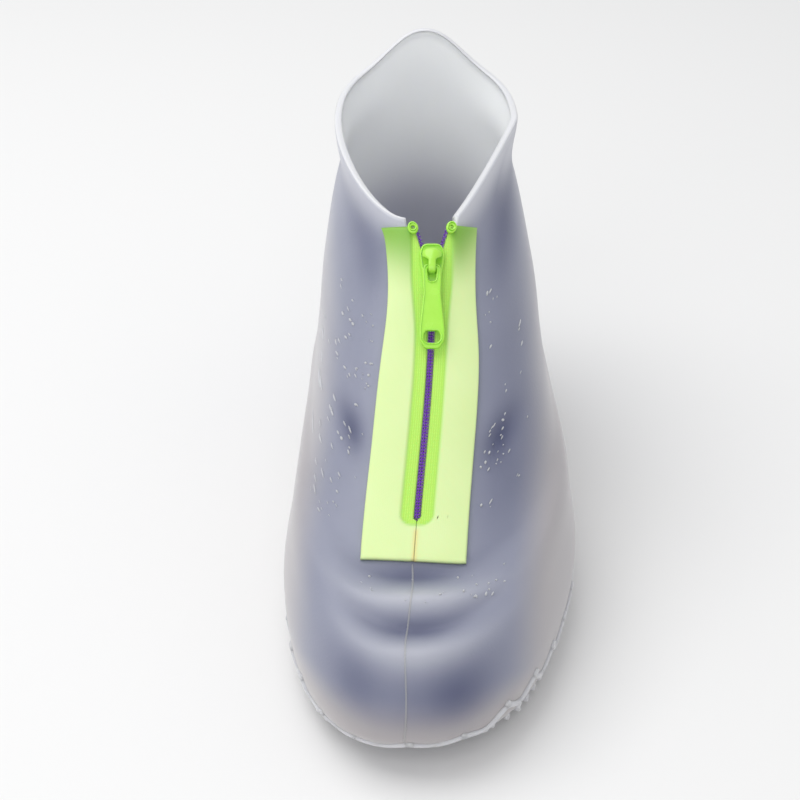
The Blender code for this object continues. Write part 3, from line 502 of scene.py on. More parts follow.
def shell_piece(material):
    """Closed skin: outer rows up from the sole, a rounded lip, inner rows down again, sole and floor."""
    depths = np.concatenate((
        np.linspace(LIP_ROUND, SLOT_END, ROWS_ABOVE),
        np.linspace(SLOT_END, FRONT_LENGTH, ROWS_BELOW)[1:],
    ))
    levels = level_at(depths)
    slot = slot_half(depths)
    tape = TAPE_HALF + TAPE_SPREAD * smooth(1.0 - depths / SLOT_FLARE)
    in_slot = slot[:, None] * np.linspace(0.0, 1.0, SLOT_COLUMNS + 1)
    under = slot[:, None] + (tape - slot)[:, None] * np.linspace(0.0, 1.0, TAPE_COLUMNS + 1)[1:]
    places = np.concatenate((in_slot, under), axis=1)
    share = np.arange(1, BACK_COLUMNS + 1) / BACK_COLUMNS
    share = share - 0.03 * np.sin(2.0 * math.pi * share)
    halves = []
    for side in (1.0, -1.0):
        front = turn_at(levels[:, None], side * places)
        edge = np.abs(front[:, -1:])
        behind = side * (edge + (math.pi - edge) * share)
        halves.append(np.concatenate((front, behind), axis=1))
    right, left = halves
    turns = np.concatenate((right, left[:, -2:0:-1]), axis=1)
    columns = turns.shape[1]
    half = right.shape[1] - 1
    level_grid = np.broadcast_to(levels[:, None], turns.shape)

    outer = skin(level_grid, turns)
    normal = skin_normal(level_grid, turns)
    rim_share = 1.0 - smooth((depths - RIM_DEPTH * 0.4) / (RIM_DEPTH * 0.8))
    thick = (WALL + (RIM_WALL - WALL) * rim_share)[:, None, None]
    inward = np.concatenate((-normal[..., :2], np.zeros(normal.shape[:2] + (1,))), axis=-1)
    sole_share = smooth((depths - (FRONT_LENGTH - 0.0070)) / 0.0070)[:, None, None]
    up = np.array((0.0, 0.0, SOLE)) + unit(inward) * 0.0008
    inner = outer - normal * thick * (1.0 - sole_share) + up * sole_share

    rim = skin(np.ones(columns), turns[0])
    rim_normal = skin_normal(np.ones(columns), turns[0])
    rise = unit(rim - skin(np.full(columns, levels[3]), turns[0]))
    angles = np.linspace(0.0, math.pi / 2.0, 5)
    drawn_in = LIP_ROUND * (1.0 - np.cos(angles))
    across = np.concatenate((drawn_in, RIM_WALL - drawn_in[::-1]))
    below = LIP_ROUND * np.concatenate((1.0 - np.sin(angles), 1.0 - np.sin(angles[::-1])))
    lip = rim + (-rim_normal) * across[:, None, None] - rise * below[:, None, None]

    grid = np.concatenate((outer[::-1], lip, inner), axis=0)
    rows = len(depths)
    numbers = np.arange(grid.shape[0] * columns).reshape(grid.shape[0], columns)
    slot_row = ROWS_ABOVE - 1
    low_outer, high_inner = rows - 1 - slot_row, rows + len(lip) + slot_row
    faces = []
    for i in range(grid.shape[0] - 1):
        quads = strip(numbers[i], numbers[i + 1], closed=True)
        if low_outer <= i < high_inner:
            quads = quads[SLOT_COLUMNS:columns - SLOT_COLUMNS]
        faces += quads
    for column, turned in ((SLOT_COLUMNS, True), (columns - SLOT_COLUMNS, False)):
        outside = numbers[low_outer:rows, column]
        inside = numbers[rows + len(lip):high_inner + 1, column][::-1]
        wall = strip(outside, inside)
        faces += [face[::-1] for face in wall] if turned else wall
        cap = numbers[rows - 1:rows + len(lip) + 1, column].tolist()
        faces.append(cap if turned else cap[::-1])
    around = np.concatenate((np.arange(columns - SLOT_COLUMNS, columns), np.arange(SLOT_COLUMNS + 1)))
    faces += strip(numbers[high_inner, around], numbers[low_outer, around])

    points = [grid.reshape(-1, 3)]
    count = grid.shape[0] * columns
    spans = 16
    shares = np.linspace(0.0, 1.0, spans + 1)[None, 1:-1, None]
    for ring, turned in ((numbers[0], True), (numbers[-1], False)):
        flat = grid.reshape(-1, 3)[ring]
        lines = np.arange(1, half)
        bridge = flat[lines][:, None] * (1.0 - shares) + flat[columns - lines][:, None] * shares
        points.append(bridge.reshape(-1, 3))
        own = count + np.arange(bridge.shape[0] * bridge.shape[1]).reshape(bridge.shape[:2])
        count += own.size
        rungs = np.concatenate((ring[lines][:, None], own, ring[columns - lines][:, None]), axis=1)
        quads = [face for k in range(len(rungs) - 1) for face in strip(rungs[k], rungs[k + 1])]
        ends = [[ring[0], b, a] for a, b in zip(rungs[0][:-1], rungs[0][1:])]
        ends += [[ring[half], a, b] for a, b in zip(rungs[-1][:-1], rungs[-1][1:])]
        every = quads + ends
        faces += every if not turned else [face[::-1] for face in every]
    points = np.concatenate(points)

    level_all = np.concatenate((level_grid[::-1], np.ones(lip.shape[:2]), level_grid))
    turn_all = np.concatenate((turns[::-1], np.broadcast_to(turns[0], lip.shape[:2]), turns))
    side_of = np.concatenate((np.zeros(turns.shape), np.ones(lip.shape[:2]) * 0.5, np.ones(turns.shape)))
    plain = plain_skin(level_all, turn_all)
    milk_and_painted_light, painted_shade_and_dark, warm = skin_tones(level_all, turn_all, plain, side_of)
    # Painted light on the upper inner skin, mixed towards near white
    inner_painted_light = smooth((level_all - 0.5) / 0.3) * (side_of > 0.7)
    rest = len(points) - milk_and_painted_light.size
    tones = {
        "milk_and_painted_light": np.concatenate((milk_and_painted_light.ravel(), np.full(rest, 0.45))),
        "painted_shade_and_dark": np.concatenate((painted_shade_and_dark.ravel(), np.zeros(rest))),
        "warm": np.concatenate((warm.ravel(), np.full(rest, 0.5))),
        "inner": np.concatenate((inner_painted_light.ravel(), np.zeros(rest))),
    }
    return make_piece("cover_shell", points, faces, material,
                      replaces=("shell",), attributes=tones)


def skin_tones(level, turn, point, inside):
    """How pale, dark and warm the silicone looks, from 0 to 1: pale at the rim, with a painted highlight on
    fold ridges and painted light up the inner skin, painted shade in dents and patches (partly a shoe's dark
    showing through), warm low down.

    Inside is 0 on the outer skin, a half on the lip and 1 on the inner skin."""
    depth, across = down_and_across(level, point)
    front = 1.0 - smooth((np.abs(turn) - 1.0) / 1.0)
    station = (point[..., 1] - CENTRE[1] + LENGTH / 2.0) * 1000.0
    height = point[..., 2] * 1000.0
    milk_and_painted_light = smooth((level - 0.90) / 0.10) * (0.48 + 0.24 * smooth((across + 10.0) / 20.0))
    milk_and_painted_light = np.maximum(milk_and_painted_light, smooth((level - 0.985) / 0.015))
    milk_and_painted_light = np.maximum(milk_and_painted_light, 0.45 * (1.0 - smooth((height - 3.0) / 9.0)))
    # The inner skin is painted paler up towards the rim: painted light
    milk_and_painted_light = np.where(inside > 0.7, np.maximum(milk_and_painted_light, 0.60 + 0.40 * smooth((level - 0.45) / 0.30)), milk_and_painted_light)
    milk_and_painted_light = milk_and_painted_light * np.where(inside > 0.7, 1.0, 0.90)
    painted_shade_and_dark = np.zeros(level.shape)
    # Painted shade in the folds' valleys, on the front
    for fold_depth, side, reach, spread, push, bow in FOLDS:
        sideways = (across - side) / reach
        down = (depth - fold_depth - bow * sideways**2) / (spread * 1.15)
        painted_shade_and_dark += np.clip(-push, 0.0, 2.5) * 0.42 * bell(sideways / 0.84) * bell(down)
        # Painted highlight on the folds' ridges, on the front
        milk_and_painted_light = milk_and_painted_light + np.clip(push, 0.0, 2.0) * 0.24 * bell(sideways) * bell(down) * front
    # Painted shade, partly a shoe's dark showing through, in the listed patches
    for patch_depth, side, spread, reach, darkness in SHADE_AND_DARK_PATCHES:
        painted_shade_and_dark += darkness * bell((across - side) / reach) * bell((depth - patch_depth) / spread)
    warm = (1.0 - smooth((height - 2.0) / 26.0)) * (0.5 + 0.5 * (1.0 - smooth((station - 120.0) / 100.0)))
    warm = np.maximum(warm, 0.85 * smooth((np.abs(across) - 31.0) / 15.0) * smooth((depth - 20.0) / 50.0))
    warm = np.maximum(warm, 0.95 * smooth((depth - 186.0) / 13.0))
    pale = (1.0 - smooth((depth - 8.0) / 18.0)) * smooth((across - 24.0) / 8.0)
    outside = inside < 0.4
    milk_and_painted_light = np.maximum(milk_and_painted_light, 0.48 * pale * outside)
    return np.clip(milk_and_painted_light, 0, 1), np.clip(painted_shade_and_dark, 0, 1) * outside * front, np.clip(warm, 0, 1) * outside


def even_tones(count, milk_and_painted_light, warm=0.0):
    """Tones of a silicone piece that is the same all over."""
    return {"milk_and_painted_light": np.full(count, milk_and_painted_light), "painted_shade_and_dark": np.zeros(count), "warm": np.full(count, warm)}


def swept(path, side, out, profile, ends=1.0, closed=False, widths=1.0, arch=0.0):
    """Profile of (sideways, outwards) pairs carried along a path, narrowing at its ends, with capped ends.

    Widths scale the profile sideways along the path, and arch bends its sides down by their square."""
    count, size = len(path), len(profile)
    scale = np.ones(count)
    if not closed and ends < 1.0:
        run = np.minimum(np.arange(count), np.arange(count)[::-1])
        scale = ends + (1.0 - ends) * np.sqrt(np.clip(run / 3.0, 0.0, 1.0))
    scale = (scale * widths)[:, None, None]
    bend = (arch * np.ones(count))[:, None, None] * np.square(profile[None, :, 0, None] / profile[:, 0].max())
    across = profile[None, :, 0, None] * scale * side[:, None]
    away = (profile[None, :, 1, None] - bend) * out[:, None]
    points = path[:, None] + across + away
    numbers = np.arange(count * size).reshape(count, size)
    faces = []
    spans = count if closed else count - 1
    for k in range(spans):
        faces += strip(numbers[k], numbers[(k + 1) % count], closed=True)
    if not closed:
        faces += [numbers[0][::-1].tolist(), numbers[-1].tolist()]
    return points.reshape(-1, 3), faces


def faced(body):
    """Closed body with its faces turned round if its volume comes out negative."""
    points, faces = body
    volume = 0.0
    for face in faces:
        a = points[face[0]]
        for k in range(1, len(face) - 1):
            volume += float(np.dot(a, np.cross(points[face[k]], points[face[k + 1]])))
    return points, faces if volume > 0.0 else [face[::-1] for face in faces]


def sole_outline():
    """Stations and side places of the sole's edge on each side."""
    turns = np.linspace(0.0, math.pi, 241)
    edges = {}
    for side in (-1, 1):
        ring = plain_skin(0.0, side * turns) - CENTRE
        edges[side] = (ring[:, 1] + LENGTH / 2.0, ring[:, 0])
    return edges


EDGES = sole_outline()


def edge_at(station, side):
    """Side place of the sole's edge at a station."""
    return np.interp(station, *EDGES[side])


def sole_middle(station):
    """Side place halfway between the sole's edges."""
    return (edge_at(station, 1) + edge_at(station, -1)) / 2.0


def on_sole(x, station, height):
    """Point under the sole, from its side place, station and height above the tread's foot."""
    station = np.asarray(station, float)
    rise = toe_lift(station) + height
    return np.stack(np.broadcast_arrays(x, station - LENGTH / 2.0, rise), axis=-1) + CENTRE


def tread_piece(material):
    """Wave ribs under ball and heel as sines along their reach, dots and dashes under the arch."""
    parts = []
    profile = np.array((
        (1, -0.3), (1, 0.35), (0.93, 0.75), (0.7, 1),
        (-0.7, 1), (-0.93, 0.75), (-1, 0.35), (-1, -0.3),
    ))
    profile = profile * (RIB_WIDTH / 2.0, TREAD)
    down = np.array((0.0, 0.0, -1.0))
    stations = np.concatenate((
        np.arange(FRONT_START, FRONT_END, FRONT_PITCH), np.arange(HEEL_START, HEEL_END, HEEL_PITCH),
    ))
    for station in stations:
        for side in (-1, 1):
            start = BAND_WIDTH / 2.0
            stop = abs(edge_at(station - RIB_SWEEP, side) - sole_middle(station)) - RIB_MARGIN
            if stop - start < 0.009:
                continue
            share = np.linspace(0.0, 1.0, RIB_STEPS)
            reach = (stop - start) * share
            run = station + RIB_WAVE * np.sin(2.0 * math.pi * reach / RIB_WAVELENGTH) - RIB_SWEEP * share**2
            path = on_sole(sole_middle(station) + side * (start + reach), run, TREAD)
            along = unit(np.gradient(path, axis=0))
            across = unit(np.cross(down, along))
            parts.append(faced(swept(path, across, np.tile(down, (RIB_STEPS, 1)), profile, 0.55)))
    for side in (-1, 1):
        for column in range(GRID_COLUMNS):
            station = GRID_START + column * GRID_STEP
            for row, place in enumerate(GRID_SIDES):
                if place + 0.004 > abs(edge_at(station, side) - sole_middle(station)):
                    continue
                centre = sole_middle(station) + side * place
                parts.append(bar(centre, station, DOT_RADIUS, DOT_RADIUS))
                if column < GRID_COLUMNS - 1:
                    between = station + GRID_STEP / 2.0
                    aside = sole_middle(between) + side * place
                    parts.append(bar(aside, between, RIB_WIDTH / 2, DASH_LENGTH / 2))
                if row:
                    halfway = side * (GRID_SIDES[row] + GRID_SIDES[row - 1]) / 2.0
                    parts.append(bar(sole_middle(station) + halfway, station, DASH_LENGTH / 2, RIB_WIDTH / 2))
    points, faces = joined(parts)
    return make_piece("tread_ribs", points, faces, material,
                      attributes=even_tones(len(points), 0.75, 0.4))


def bar(x, station, half_x, half_run):
    """Rounded bar or dot under the sole: a superellipse drawn in towards its foot."""
    angles = np.linspace(0.0, 2.0 * math.pi, 20, endpoint=False)
    power = 1.0 if abs(half_x - half_run) < 1e-6 else 0.45
    shape = np.stack((np.sign(np.cos(angles)) * np.abs(np.cos(angles)) ** power * half_x,
                      np.sign(np.sin(angles)) * np.abs(np.sin(angles)) ** power * half_run), axis=-1)
    rings = []
    for inset, height in ((0.0, 1.3), (0.0, 0.35), (0.1, 0.08), (0.28, 0.0)):
        size = 1.0 - inset * min(half_x, half_run) / np.array((half_x, half_run))
        ring = shape * size
        rings.append(on_sole(x + ring[:, 0], station + ring[:, 1], TREAD * height))
    points = np.concatenate(rings)
    numbers = np.arange(len(points)).reshape(4, 20)
    faces = [face for k in range(3) for face in strip(numbers[k], numbers[k + 1], closed=True)]
    faces += [numbers[0][::-1].tolist(), numbers[3].tolist()]
    return faced((points, faces))


def level_of_height(turn, height):
    """Level near the sole's edge at which the skin has a height above the ground, by halving."""
    low, high = np.zeros(turn.shape), np.full(turn.shape, 0.22)
    for _ in range(26):
        level = (low + high) / 2.0
        short = plain_skin(level, turn)[..., 2] < height
        low, high = np.where(short, level, low), np.where(short, high, level)
    return (low + high) / 2.0


def bead_piece(material):
    """Bead waving round the side of the sole as a sine, a spur above each crest and a web below each trough.

    It drops and its waves calm down round the toe, by a smooth step of the turn."""
    turns = np.linspace(-math.pi, math.pi, 1441)
    ring = plain_skin(0.1, turns)
    lengths = np.concatenate(([0.0], np.cumsum(np.linalg.norm(np.diff(ring, axis=0), axis=1))))
    periods = round(float(lengths[-1]) / WAVE_LENGTH)
    count = periods * WAVE_STEPS
    phase = 2.0 * math.pi * periods * (np.arange(count) + WAVE_SHIFT) / count
    turn = np.interp(lengths[-1] * (np.arange(count) + WAVE_SHIFT) / count, lengths, turns)
    place = plain_skin(0.1, turn)
    base = WAVE_HEIGHT + toe_lift(place[:, 1] - CENTRE[1] + LENGTH / 2.0) + WAVE_TILT * np.sin(turn)
    ahead = 1.0 - smooth((np.abs(turn + 0.1) - 0.25) / 0.50)
    base = base - (TOE_DROP - TOE_DROP_TILT * np.sin(turn)) * ahead
    swing = WAVE_SWING * (1.0 - TOE_CALM * ahead)
    level = level_of_height(turn, base + swing * np.sin(phase))
    path, out = skin(level, turn), skin_normal(level, turn)
    along = unit(np.roll(path, -1, axis=0) - np.roll(path, 1, axis=0))
    across = unit(np.cross(along, out))
    angles = np.linspace(-0.35, math.pi + 0.35, 11)
    profile = np.stack((np.cos(angles) * WAVE_WIDTH / 2.0, np.sin(angles) * WAVE_PROUD), axis=-1)
    parts = [faced(swept(path, across, out, profile, closed=True))]
    for k in range(periods):
        for step, reach, width in SPURS:
            index = (WAVE_STEPS * k + step - WAVE_SHIFT) % count
            spot, height = turn[index], base[index] + swing[index] * math.sin(phase[index])
            reach = reach * (1.0 - 0.75 * ahead[index]) * (1.0 if spot > 0.0 else 0.7)
            climb = height + np.linspace(0.0, reach, 9)
            lean = spot + np.linspace(0.0, 0.0012 / 0.05, 9)
            levels = level_of_height(lean, climb)
            line, away = skin(levels, lean), skin_normal(levels, lean)
            run = unit(np.gradient(line, axis=0))
            shape = profile * (width / WAVE_WIDTH, 0.92)
            parts.append(faced(swept(line, unit(np.cross(run, away)), away, shape, 0.5)))
    points, faces = joined(parts)
    return make_piece("side_bead", points, faces, material,
                      attributes=even_tones(len(points), 0.58, 0.35))


def tape_half(depth):
    """Distance of a tape's outer edge from the middle: wider at the very top, drawn in beside the slider."""
    drawn_in = DRAWN_IN * bell((depth - DRAWN_IN_DEPTH) / DRAWN_IN_SPREAD)
    spread = TAPE_SPREAD * SPREAD_SHARE * smooth(1.0 - depth / SLOT_FLARE)
    flare = spread + TOP_FLARE * smooth(1.0 - depth / TOP_FLARE_DEPTH)
    return TAPE_HALF - TAPE_TRIM - drawn_in + flare


def film_edge(depth, place):
    """Distance in from the edge of the film that laps the tape, negative in the bare band round the teeth."""
    half = BAND_HALF + 0.0016 * smooth(1.0 - (depth - PART_START) / 0.026)
    aside = np.abs(place) - half
    beyond = depth - FILM_END
    dx, dy = np.maximum(aside + FILM_CORNER, 0.0), np.maximum(beyond + FILM_CORNER, 0.0)
    rounded = np.sqrt(dx**2 + dy**2) - FILM_CORNER
    return np.where((aside > -FILM_CORNER) & (beyond > -FILM_CORNER), rounded, np.maximum(aside, beyond))


def climbs(depth, place):
    """How high points of the tape lie along the direction that its ends are cut square to."""
    return raised(depth, place, 0.001) @ CUT_UP


def cut_depths(depth, climb, cut):
    """Depth at which each column of a tape comes down to the height of a straight cut."""
    return np.array([np.interp(-cut, -np.minimum.accumulate(column), depth[:, 0]) for column in climb.T])


def tape_piece(side, material):
    """Woven tape, cut straight at both ends: its top steps up smoothly where the silicone film laps it."""
    name = "left" if side < 0 else "right"
    share = np.linspace(0.0, 1.0, TAPE_STEPS)
    trial = np.linspace(TAPE_TOP, TAPE_TOP + 0.034, 69)[:, None]
    trial_near, trial_far = part_half(trial), tape_half(trial)
    climb = climbs(trial, side * (trial_near + (trial_far - trial_near) * share))
    tops = cut_depths(trial, climb, climb[0, 0] - 0.0003)
    trial = np.linspace(TAPE_END - 0.002, TAPE_END + 0.010, 49)[:, None]
    climb = climbs(trial, side * (FIT_GAP + (TAPE_HALF - FIT_GAP) * share))
    ends = cut_depths(trial, climb, np.interp(TAPE_END, trial[:, 0], climb[:, 0]))
    ends = ends + side * 0.0010 * share
    along = np.linspace(0.0, 1.0, TAPE_ROWS)[:, None]
    depth = tops + (ends - tops) * along
    spread = tape_half(depth)
    near = part_half(depth)
    near = np.where(depth > CHAIN_END, 0.00006, near - FIT_GAP * 0.6)
    place = near + (spread - near) * share
    end_wave = 0.0004 * np.sin(place / TAPE_HALF * 3.3 + 0.4 * side) * smooth((depth - 0.115) / 0.0185)
    depth = np.clip(depth + end_wave, TAPE_TOP, ends)
    over = film_edge(depth, place)
    film = smooth(over / 0.0006 + 0.5)
    edge = np.minimum.reduce((
        spread - place, depth - tops + 0.0003, ends + 0.0003 - depth,
        place - near + 0.0002 + 0.0004 * smooth((depth - 0.1185) / 0.002),
    ))
    rounding = np.sqrt(np.clip(1.0 - np.clip(1.0 - edge / 0.0007, 0.0, 1.0) ** 2, 0.0, 1.0))
    top = FIT_GAP + 0.0002 + (0.0006 + FILM_STEP * film) * rounding
    groove = 0.00022 * bell((over - 0.0002) / 0.00035)
    upper = raised(depth, side * place, top - groove)
    lower = raised(depth, side * place, np.full(place.shape, FIT_GAP))
    rows, columns = place.shape
    numbers = np.arange(rows * columns).reshape(rows, columns)
    faces = [face for k in range(rows - 1) for face in strip(numbers[k], numbers[k + 1])]
    below = numbers + rows * columns
    faces += [face[::-1] for k in range(rows - 1) for face in strip(below[k], below[k + 1])]
    border = np.concatenate((numbers[0], numbers[1:, -1], numbers[-1, -2::-1], numbers[-2:0:-1, 0]))
    faces += [face[::-1] for face in strip(border, border + rows * columns, closed=True)]
    points = np.concatenate((upper.reshape(-1, 3), lower.reshape(-1, 3)))
    points, faces = faced((points, faces))
    uv = np.stack((side * place, depth), axis=-1).reshape(-1, 2) * 10.0
    seam = bell(place / 0.0009) * smooth((depth - 0.1205) / 0.002)
    tones = {
        "film": np.tile(film.ravel(), 2),
        "lip": np.tile(bell((over - 0.0001) / 0.0006).ravel(), 2),
        "seam": np.tile(seam.ravel(), 2),
        "green": np.tile((1.0 - smooth((depth - 0.006) / 0.026)).ravel(), 2),
    }
    return make_piece("zip_tape_" + name, points, faces, material,
                      replaces=("tape_" + name,), attributes=tones, uv=np.tile(uv, (2, 1)))


def coil_piece(side, material):
    """Row of teeth: a wire wound in a helix along the tape's inner edge, half a pitch from its partner."""
    name = "left" if side < 0 else "right"
    start, stop = TAPE_TOP + 0.0008, CHAIN_END - 0.0002
    turns = (stop - start) / COIL_PITCH
    count = int(turns * COIL_STEPS)
    run = np.linspace(start, stop, count)
    angle = 2.0 * math.pi * (run / COIL_PITCH + (0.25 if side < 0 else 0.75)) * side
    centre = part_half(run) - 2.0 * FIT_GAP - COIL_RADIUS
    place = side * (centre + COIL_RADIUS * np.cos(angle))
    path = raised(run, place, FIT_GAP + COIL_RISE + (COIL_RADIUS + 0.00006) * np.sin(angle))
    along = unit(np.gradient(path, axis=0))
    guide = raised(run, side * centre, np.full(count, 0.004)) - raised(run, side * centre, np.zeros(count))
    across = unit(np.cross(along, unit(guide)))
    out = unit(np.cross(across, along))
    ring = np.linspace(0.0, 2.0 * math.pi, 6, endpoint=False)
    profile = np.stack((np.cos(ring), np.sin(ring)), axis=-1) * WIRE_RADIUS
    points, faces = faced(swept(path, across, out, profile))
    return make_piece("teeth_coil_" + name, points, faces, material,
                      replaces=("teeth_" + name,))


def slider_frame():
    """Origin and directions of the slider: down the zip, across it, and out of the skin."""
    ahead = skin(level_at(SLIDER_DEPTH + SLIDER_LENGTH / 2.0), 0.0)
    behind = skin(level_at(SLIDER_DEPTH - SLIDER_LENGTH / 2.0), 0.0)
    along = unit(ahead - behind)
    out = unit(skin_normal(level_at(SLIDER_DEPTH), 0.0))
    across = unit(np.cross(out, along))
    return (ahead + behind) / 2.0, along, across, unit(np.cross(along, across))


def placed(axes, points):
    """Points of (along, across, out) in a frame."""
    origin, along, across, out = axes
    points = np.asarray(points, float)
    return origin + points[..., :1] * along + points[..., 1:2] * across + points[..., 2:3] * out


def rounded_loop(corners, radius, steps=6):
    """Closed line through corners, each rounded by an arc of a given radius."""
    corners = np.asarray(corners, float)
    count = len(corners)
    radii = np.broadcast_to(radius, (count,))
    line = []
    for k in range(count):
        here = corners[k]
        to_last, to_next = corners[k - 1] - here, corners[(k + 1) % count] - here
        reach_last, reach_next = np.linalg.norm(to_last), np.linalg.norm(to_next)
        to_last, to_next = to_last / reach_last, to_next / reach_next
        half = math.acos(float(np.clip(np.dot(to_last, to_next), -1.0, 1.0))) / 2.0
        cut = min(radii[k] / math.tan(half), reach_last * 0.48, reach_next * 0.48)
        t = np.linspace(0.0, 1.0, steps)[:, None]
        start, stop = here + to_last * cut, here + to_next * cut
        line.append(start * (1 - t) ** 2 + here * 2 * t * (1 - t) + stop * t**2)
    return np.concatenate(line)


def inset_loop(loop, distance):
    """Loop moved inwards along its own normals, for a loop that runs anticlockwise."""
    run = unit(np.roll(loop, -1, axis=0) - np.roll(loop, 1, axis=0))
    return loop + np.stack((-run[:, 1], run[:, 0]), axis=-1) * distance


def slab(loops, low, high, rounding, crown=0.0, steps=4):
    """Plate with holes: each loop carries a rounded edge, and triangles fill the top and bottom between.

    The first loop runs anticlockwise and the holes clockwise. Crown lifts the top by a parabola across it."""
    angles = np.linspace(0.0, math.pi / 2.0, steps)
    insets = rounding * np.concatenate((1.0 - np.sin(angles[::-1]), 1.0 - np.sin(angles)))
    drop = rounding * (1.0 - np.cos(angles))
    heights = np.concatenate((high - drop[::-1], low + drop))
    points, faces, caps = [], [], []
    count = 0
    for loop in loops:
        rings = [np.column_stack((inset_loop(loop, inset), np.full(len(loop), height)))
                 for inset, height in zip(insets, heights)]
        numbers = count + np.arange(len(rings) * len(loop)).reshape(len(rings), len(loop))
        count += numbers.size
        points += rings
        for k in range(len(rings) - 1):
            faces += [face[::-1] for face in strip(numbers[k], numbers[k + 1], closed=True)]
        caps.append(numbers)
    points = np.concatenate(points)
    for ring, turned in ((0, False), (-1, True)):
        order = np.concatenate([numbers[ring] for numbers in caps])
        flat = [Vector((float(x), float(y))) for x, y in points[order][:, :2]]
        edges, start = [], 0
        for numbers in caps:
            size = numbers.shape[1]
            edges += [(start + k, start + (k + 1) % size) for k in range(size)]
            start += size
        outline = list(range(caps[0].shape[1]))
        holes, start = [], len(outline)
        for numbers in caps[1:]:
            holes.append(list(range(start, start + numbers.shape[1])))
            start += numbers.shape[1]
        made = delaunay_2d_cdt(flat, edges, [outline] + holes, 5 if holes else 1, 1e-9)
        back = [source[0] if source else None for source in made[3]]
        for face in made[2]:
            corners = [int(order[back[index]]) for index in face]
            a, b, c = (points[corner][:2] for corner in corners[:3])
            turns_left = (b[0] - a[0]) * (c[1] - a[1]) - (b[1] - a[1]) * (c[0] - a[0]) > 0.0
            faces.append(corners if turns_left != turned else corners[::-1])
    if crown:
        reach = np.abs(points[:, 1]).max()
        top = points[:, 2] > (low + high) / 2.0
        points[:, 2] += np.where(top, crown * (1.0 - (points[:, 1] / reach) ** 2), 0.0)
    return points, faces


def slider_pieces(material):
    """Slider: crowned plate, a flange down each side, and the bridge, hooded behind, for the pull tab."""
    axes = slider_frame()
    length = SLIDER_LENGTH / 2.0
    half = (
        (-length, SLIDER_BACK_HALF * 0.80), (-length * 0.55, SLIDER_BACK_HALF * 1.04),
        (length * 0.40, SLIDER_FRONT_HALF * 1.02), (length, SLIDER_FRONT_HALF * 0.86),
    )
    corners = [(u, -v) for u, v in half] + [(u, v) for u, v in half[::-1]]
    radii = (0.0032, 0.006, 0.006, 0.0022)
    loop = rounded_loop(corners, radii + radii[::-1])
    upper = slab([loop], SLIDER_FLOOR, SLIDER_FLOOR + SLIDER_WALL, 0.0006, crown=0.0005)
    parts = [(placed(axes, upper[0]), upper[1])]
    rim = inset_loop(loop, 0.0002)
    flange_shape = np.array((
        (0.0004, 0.0003), (0.0004, -0.0007), (0.0002, -0.0009),
        (-0.0002, -0.0009), (-0.0004, -0.0007), (-0.0004, 0.0003),
    ))
    for side in (-1, 1):
        beside = (rim[:, 1] * side > SLIDER_FRONT_HALF * 0.55) & (rim[:, 0] > -length * 0.9)
        flange = rim[beside]
        flange = flange[np.argsort(flange[:, 0])]
        floor = np.full(len(flange), SLIDER_FLOOR)
        path = placed(axes, np.column_stack((flange[:, 0], flange[:, 1] - side * 0.0003, floor)))
        across, out = np.tile(axes[2], (len(path), 1)), np.tile(axes[3], (len(path), 1))
        parts.append(faced(swept(path, across, out, flange_shape)))
    top = SLIDER_FLOOR + SLIDER_WALL
    rise = BRIDGE_CLEAR + BRIDGE_WALL / 2.0
    knots = np.array((
        (-BRIDGE_BACK + BRIDGE_WALL / 2, -0.0006), (-BRIDGE_BACK + BRIDGE_WALL / 2, rise * 0.30),
        (-BRIDGE_BACK * 0.78, rise * 0.80), (-BRIDGE_BACK * 0.42, rise), (-0.0006, rise),
        (BRIDGE_FRONT * 0.52, rise * 0.93), (BRIDGE_FRONT - BRIDGE_WALL / 2, rise * 0.62),
        (BRIDGE_FRONT - BRIDGE_WALL / 2, -0.0006),
    ))
    line = spline(knots, 44)
    path = placed(axes, np.column_stack((line[:, 0], np.zeros(len(line)), top + line[:, 1])))
    along = unit(np.gradient(path, axis=0))
    across = np.tile(axes[2], (len(path), 1))
    ring = np.linspace(0.0, 2.0 * math.pi, 18, endpoint=False)
    oval = np.stack((np.sign(np.cos(ring)) * np.abs(np.cos(ring)) ** 0.7 * BRIDGE_HALF,
                     np.sign(np.sin(ring)) * np.abs(np.sin(ring)) ** 0.7 * BRIDGE_WALL / 2.0), axis=-1)
    hood = smooth((-0.0012 - line[:, 0]) / 0.0024)
    parts.append(faced(swept(path, across, unit(np.cross(along, across)), oval,
                             widths=1.0 + 1.65 * hood, arch=0.0012 * hood)))
    points, faces = joined([faced(part) for part in parts])
    body = make_piece("slider_body", points, faces, material, replaces=("slider",))
    return sharpen(body, 50)


def spline(knots, count):
    """Smooth line through knots, by a cubic, at equal steps of the knots' number."""
    return cubic_rows(np.asarray(knots, float), np.linspace(0.0, 1.0, count))


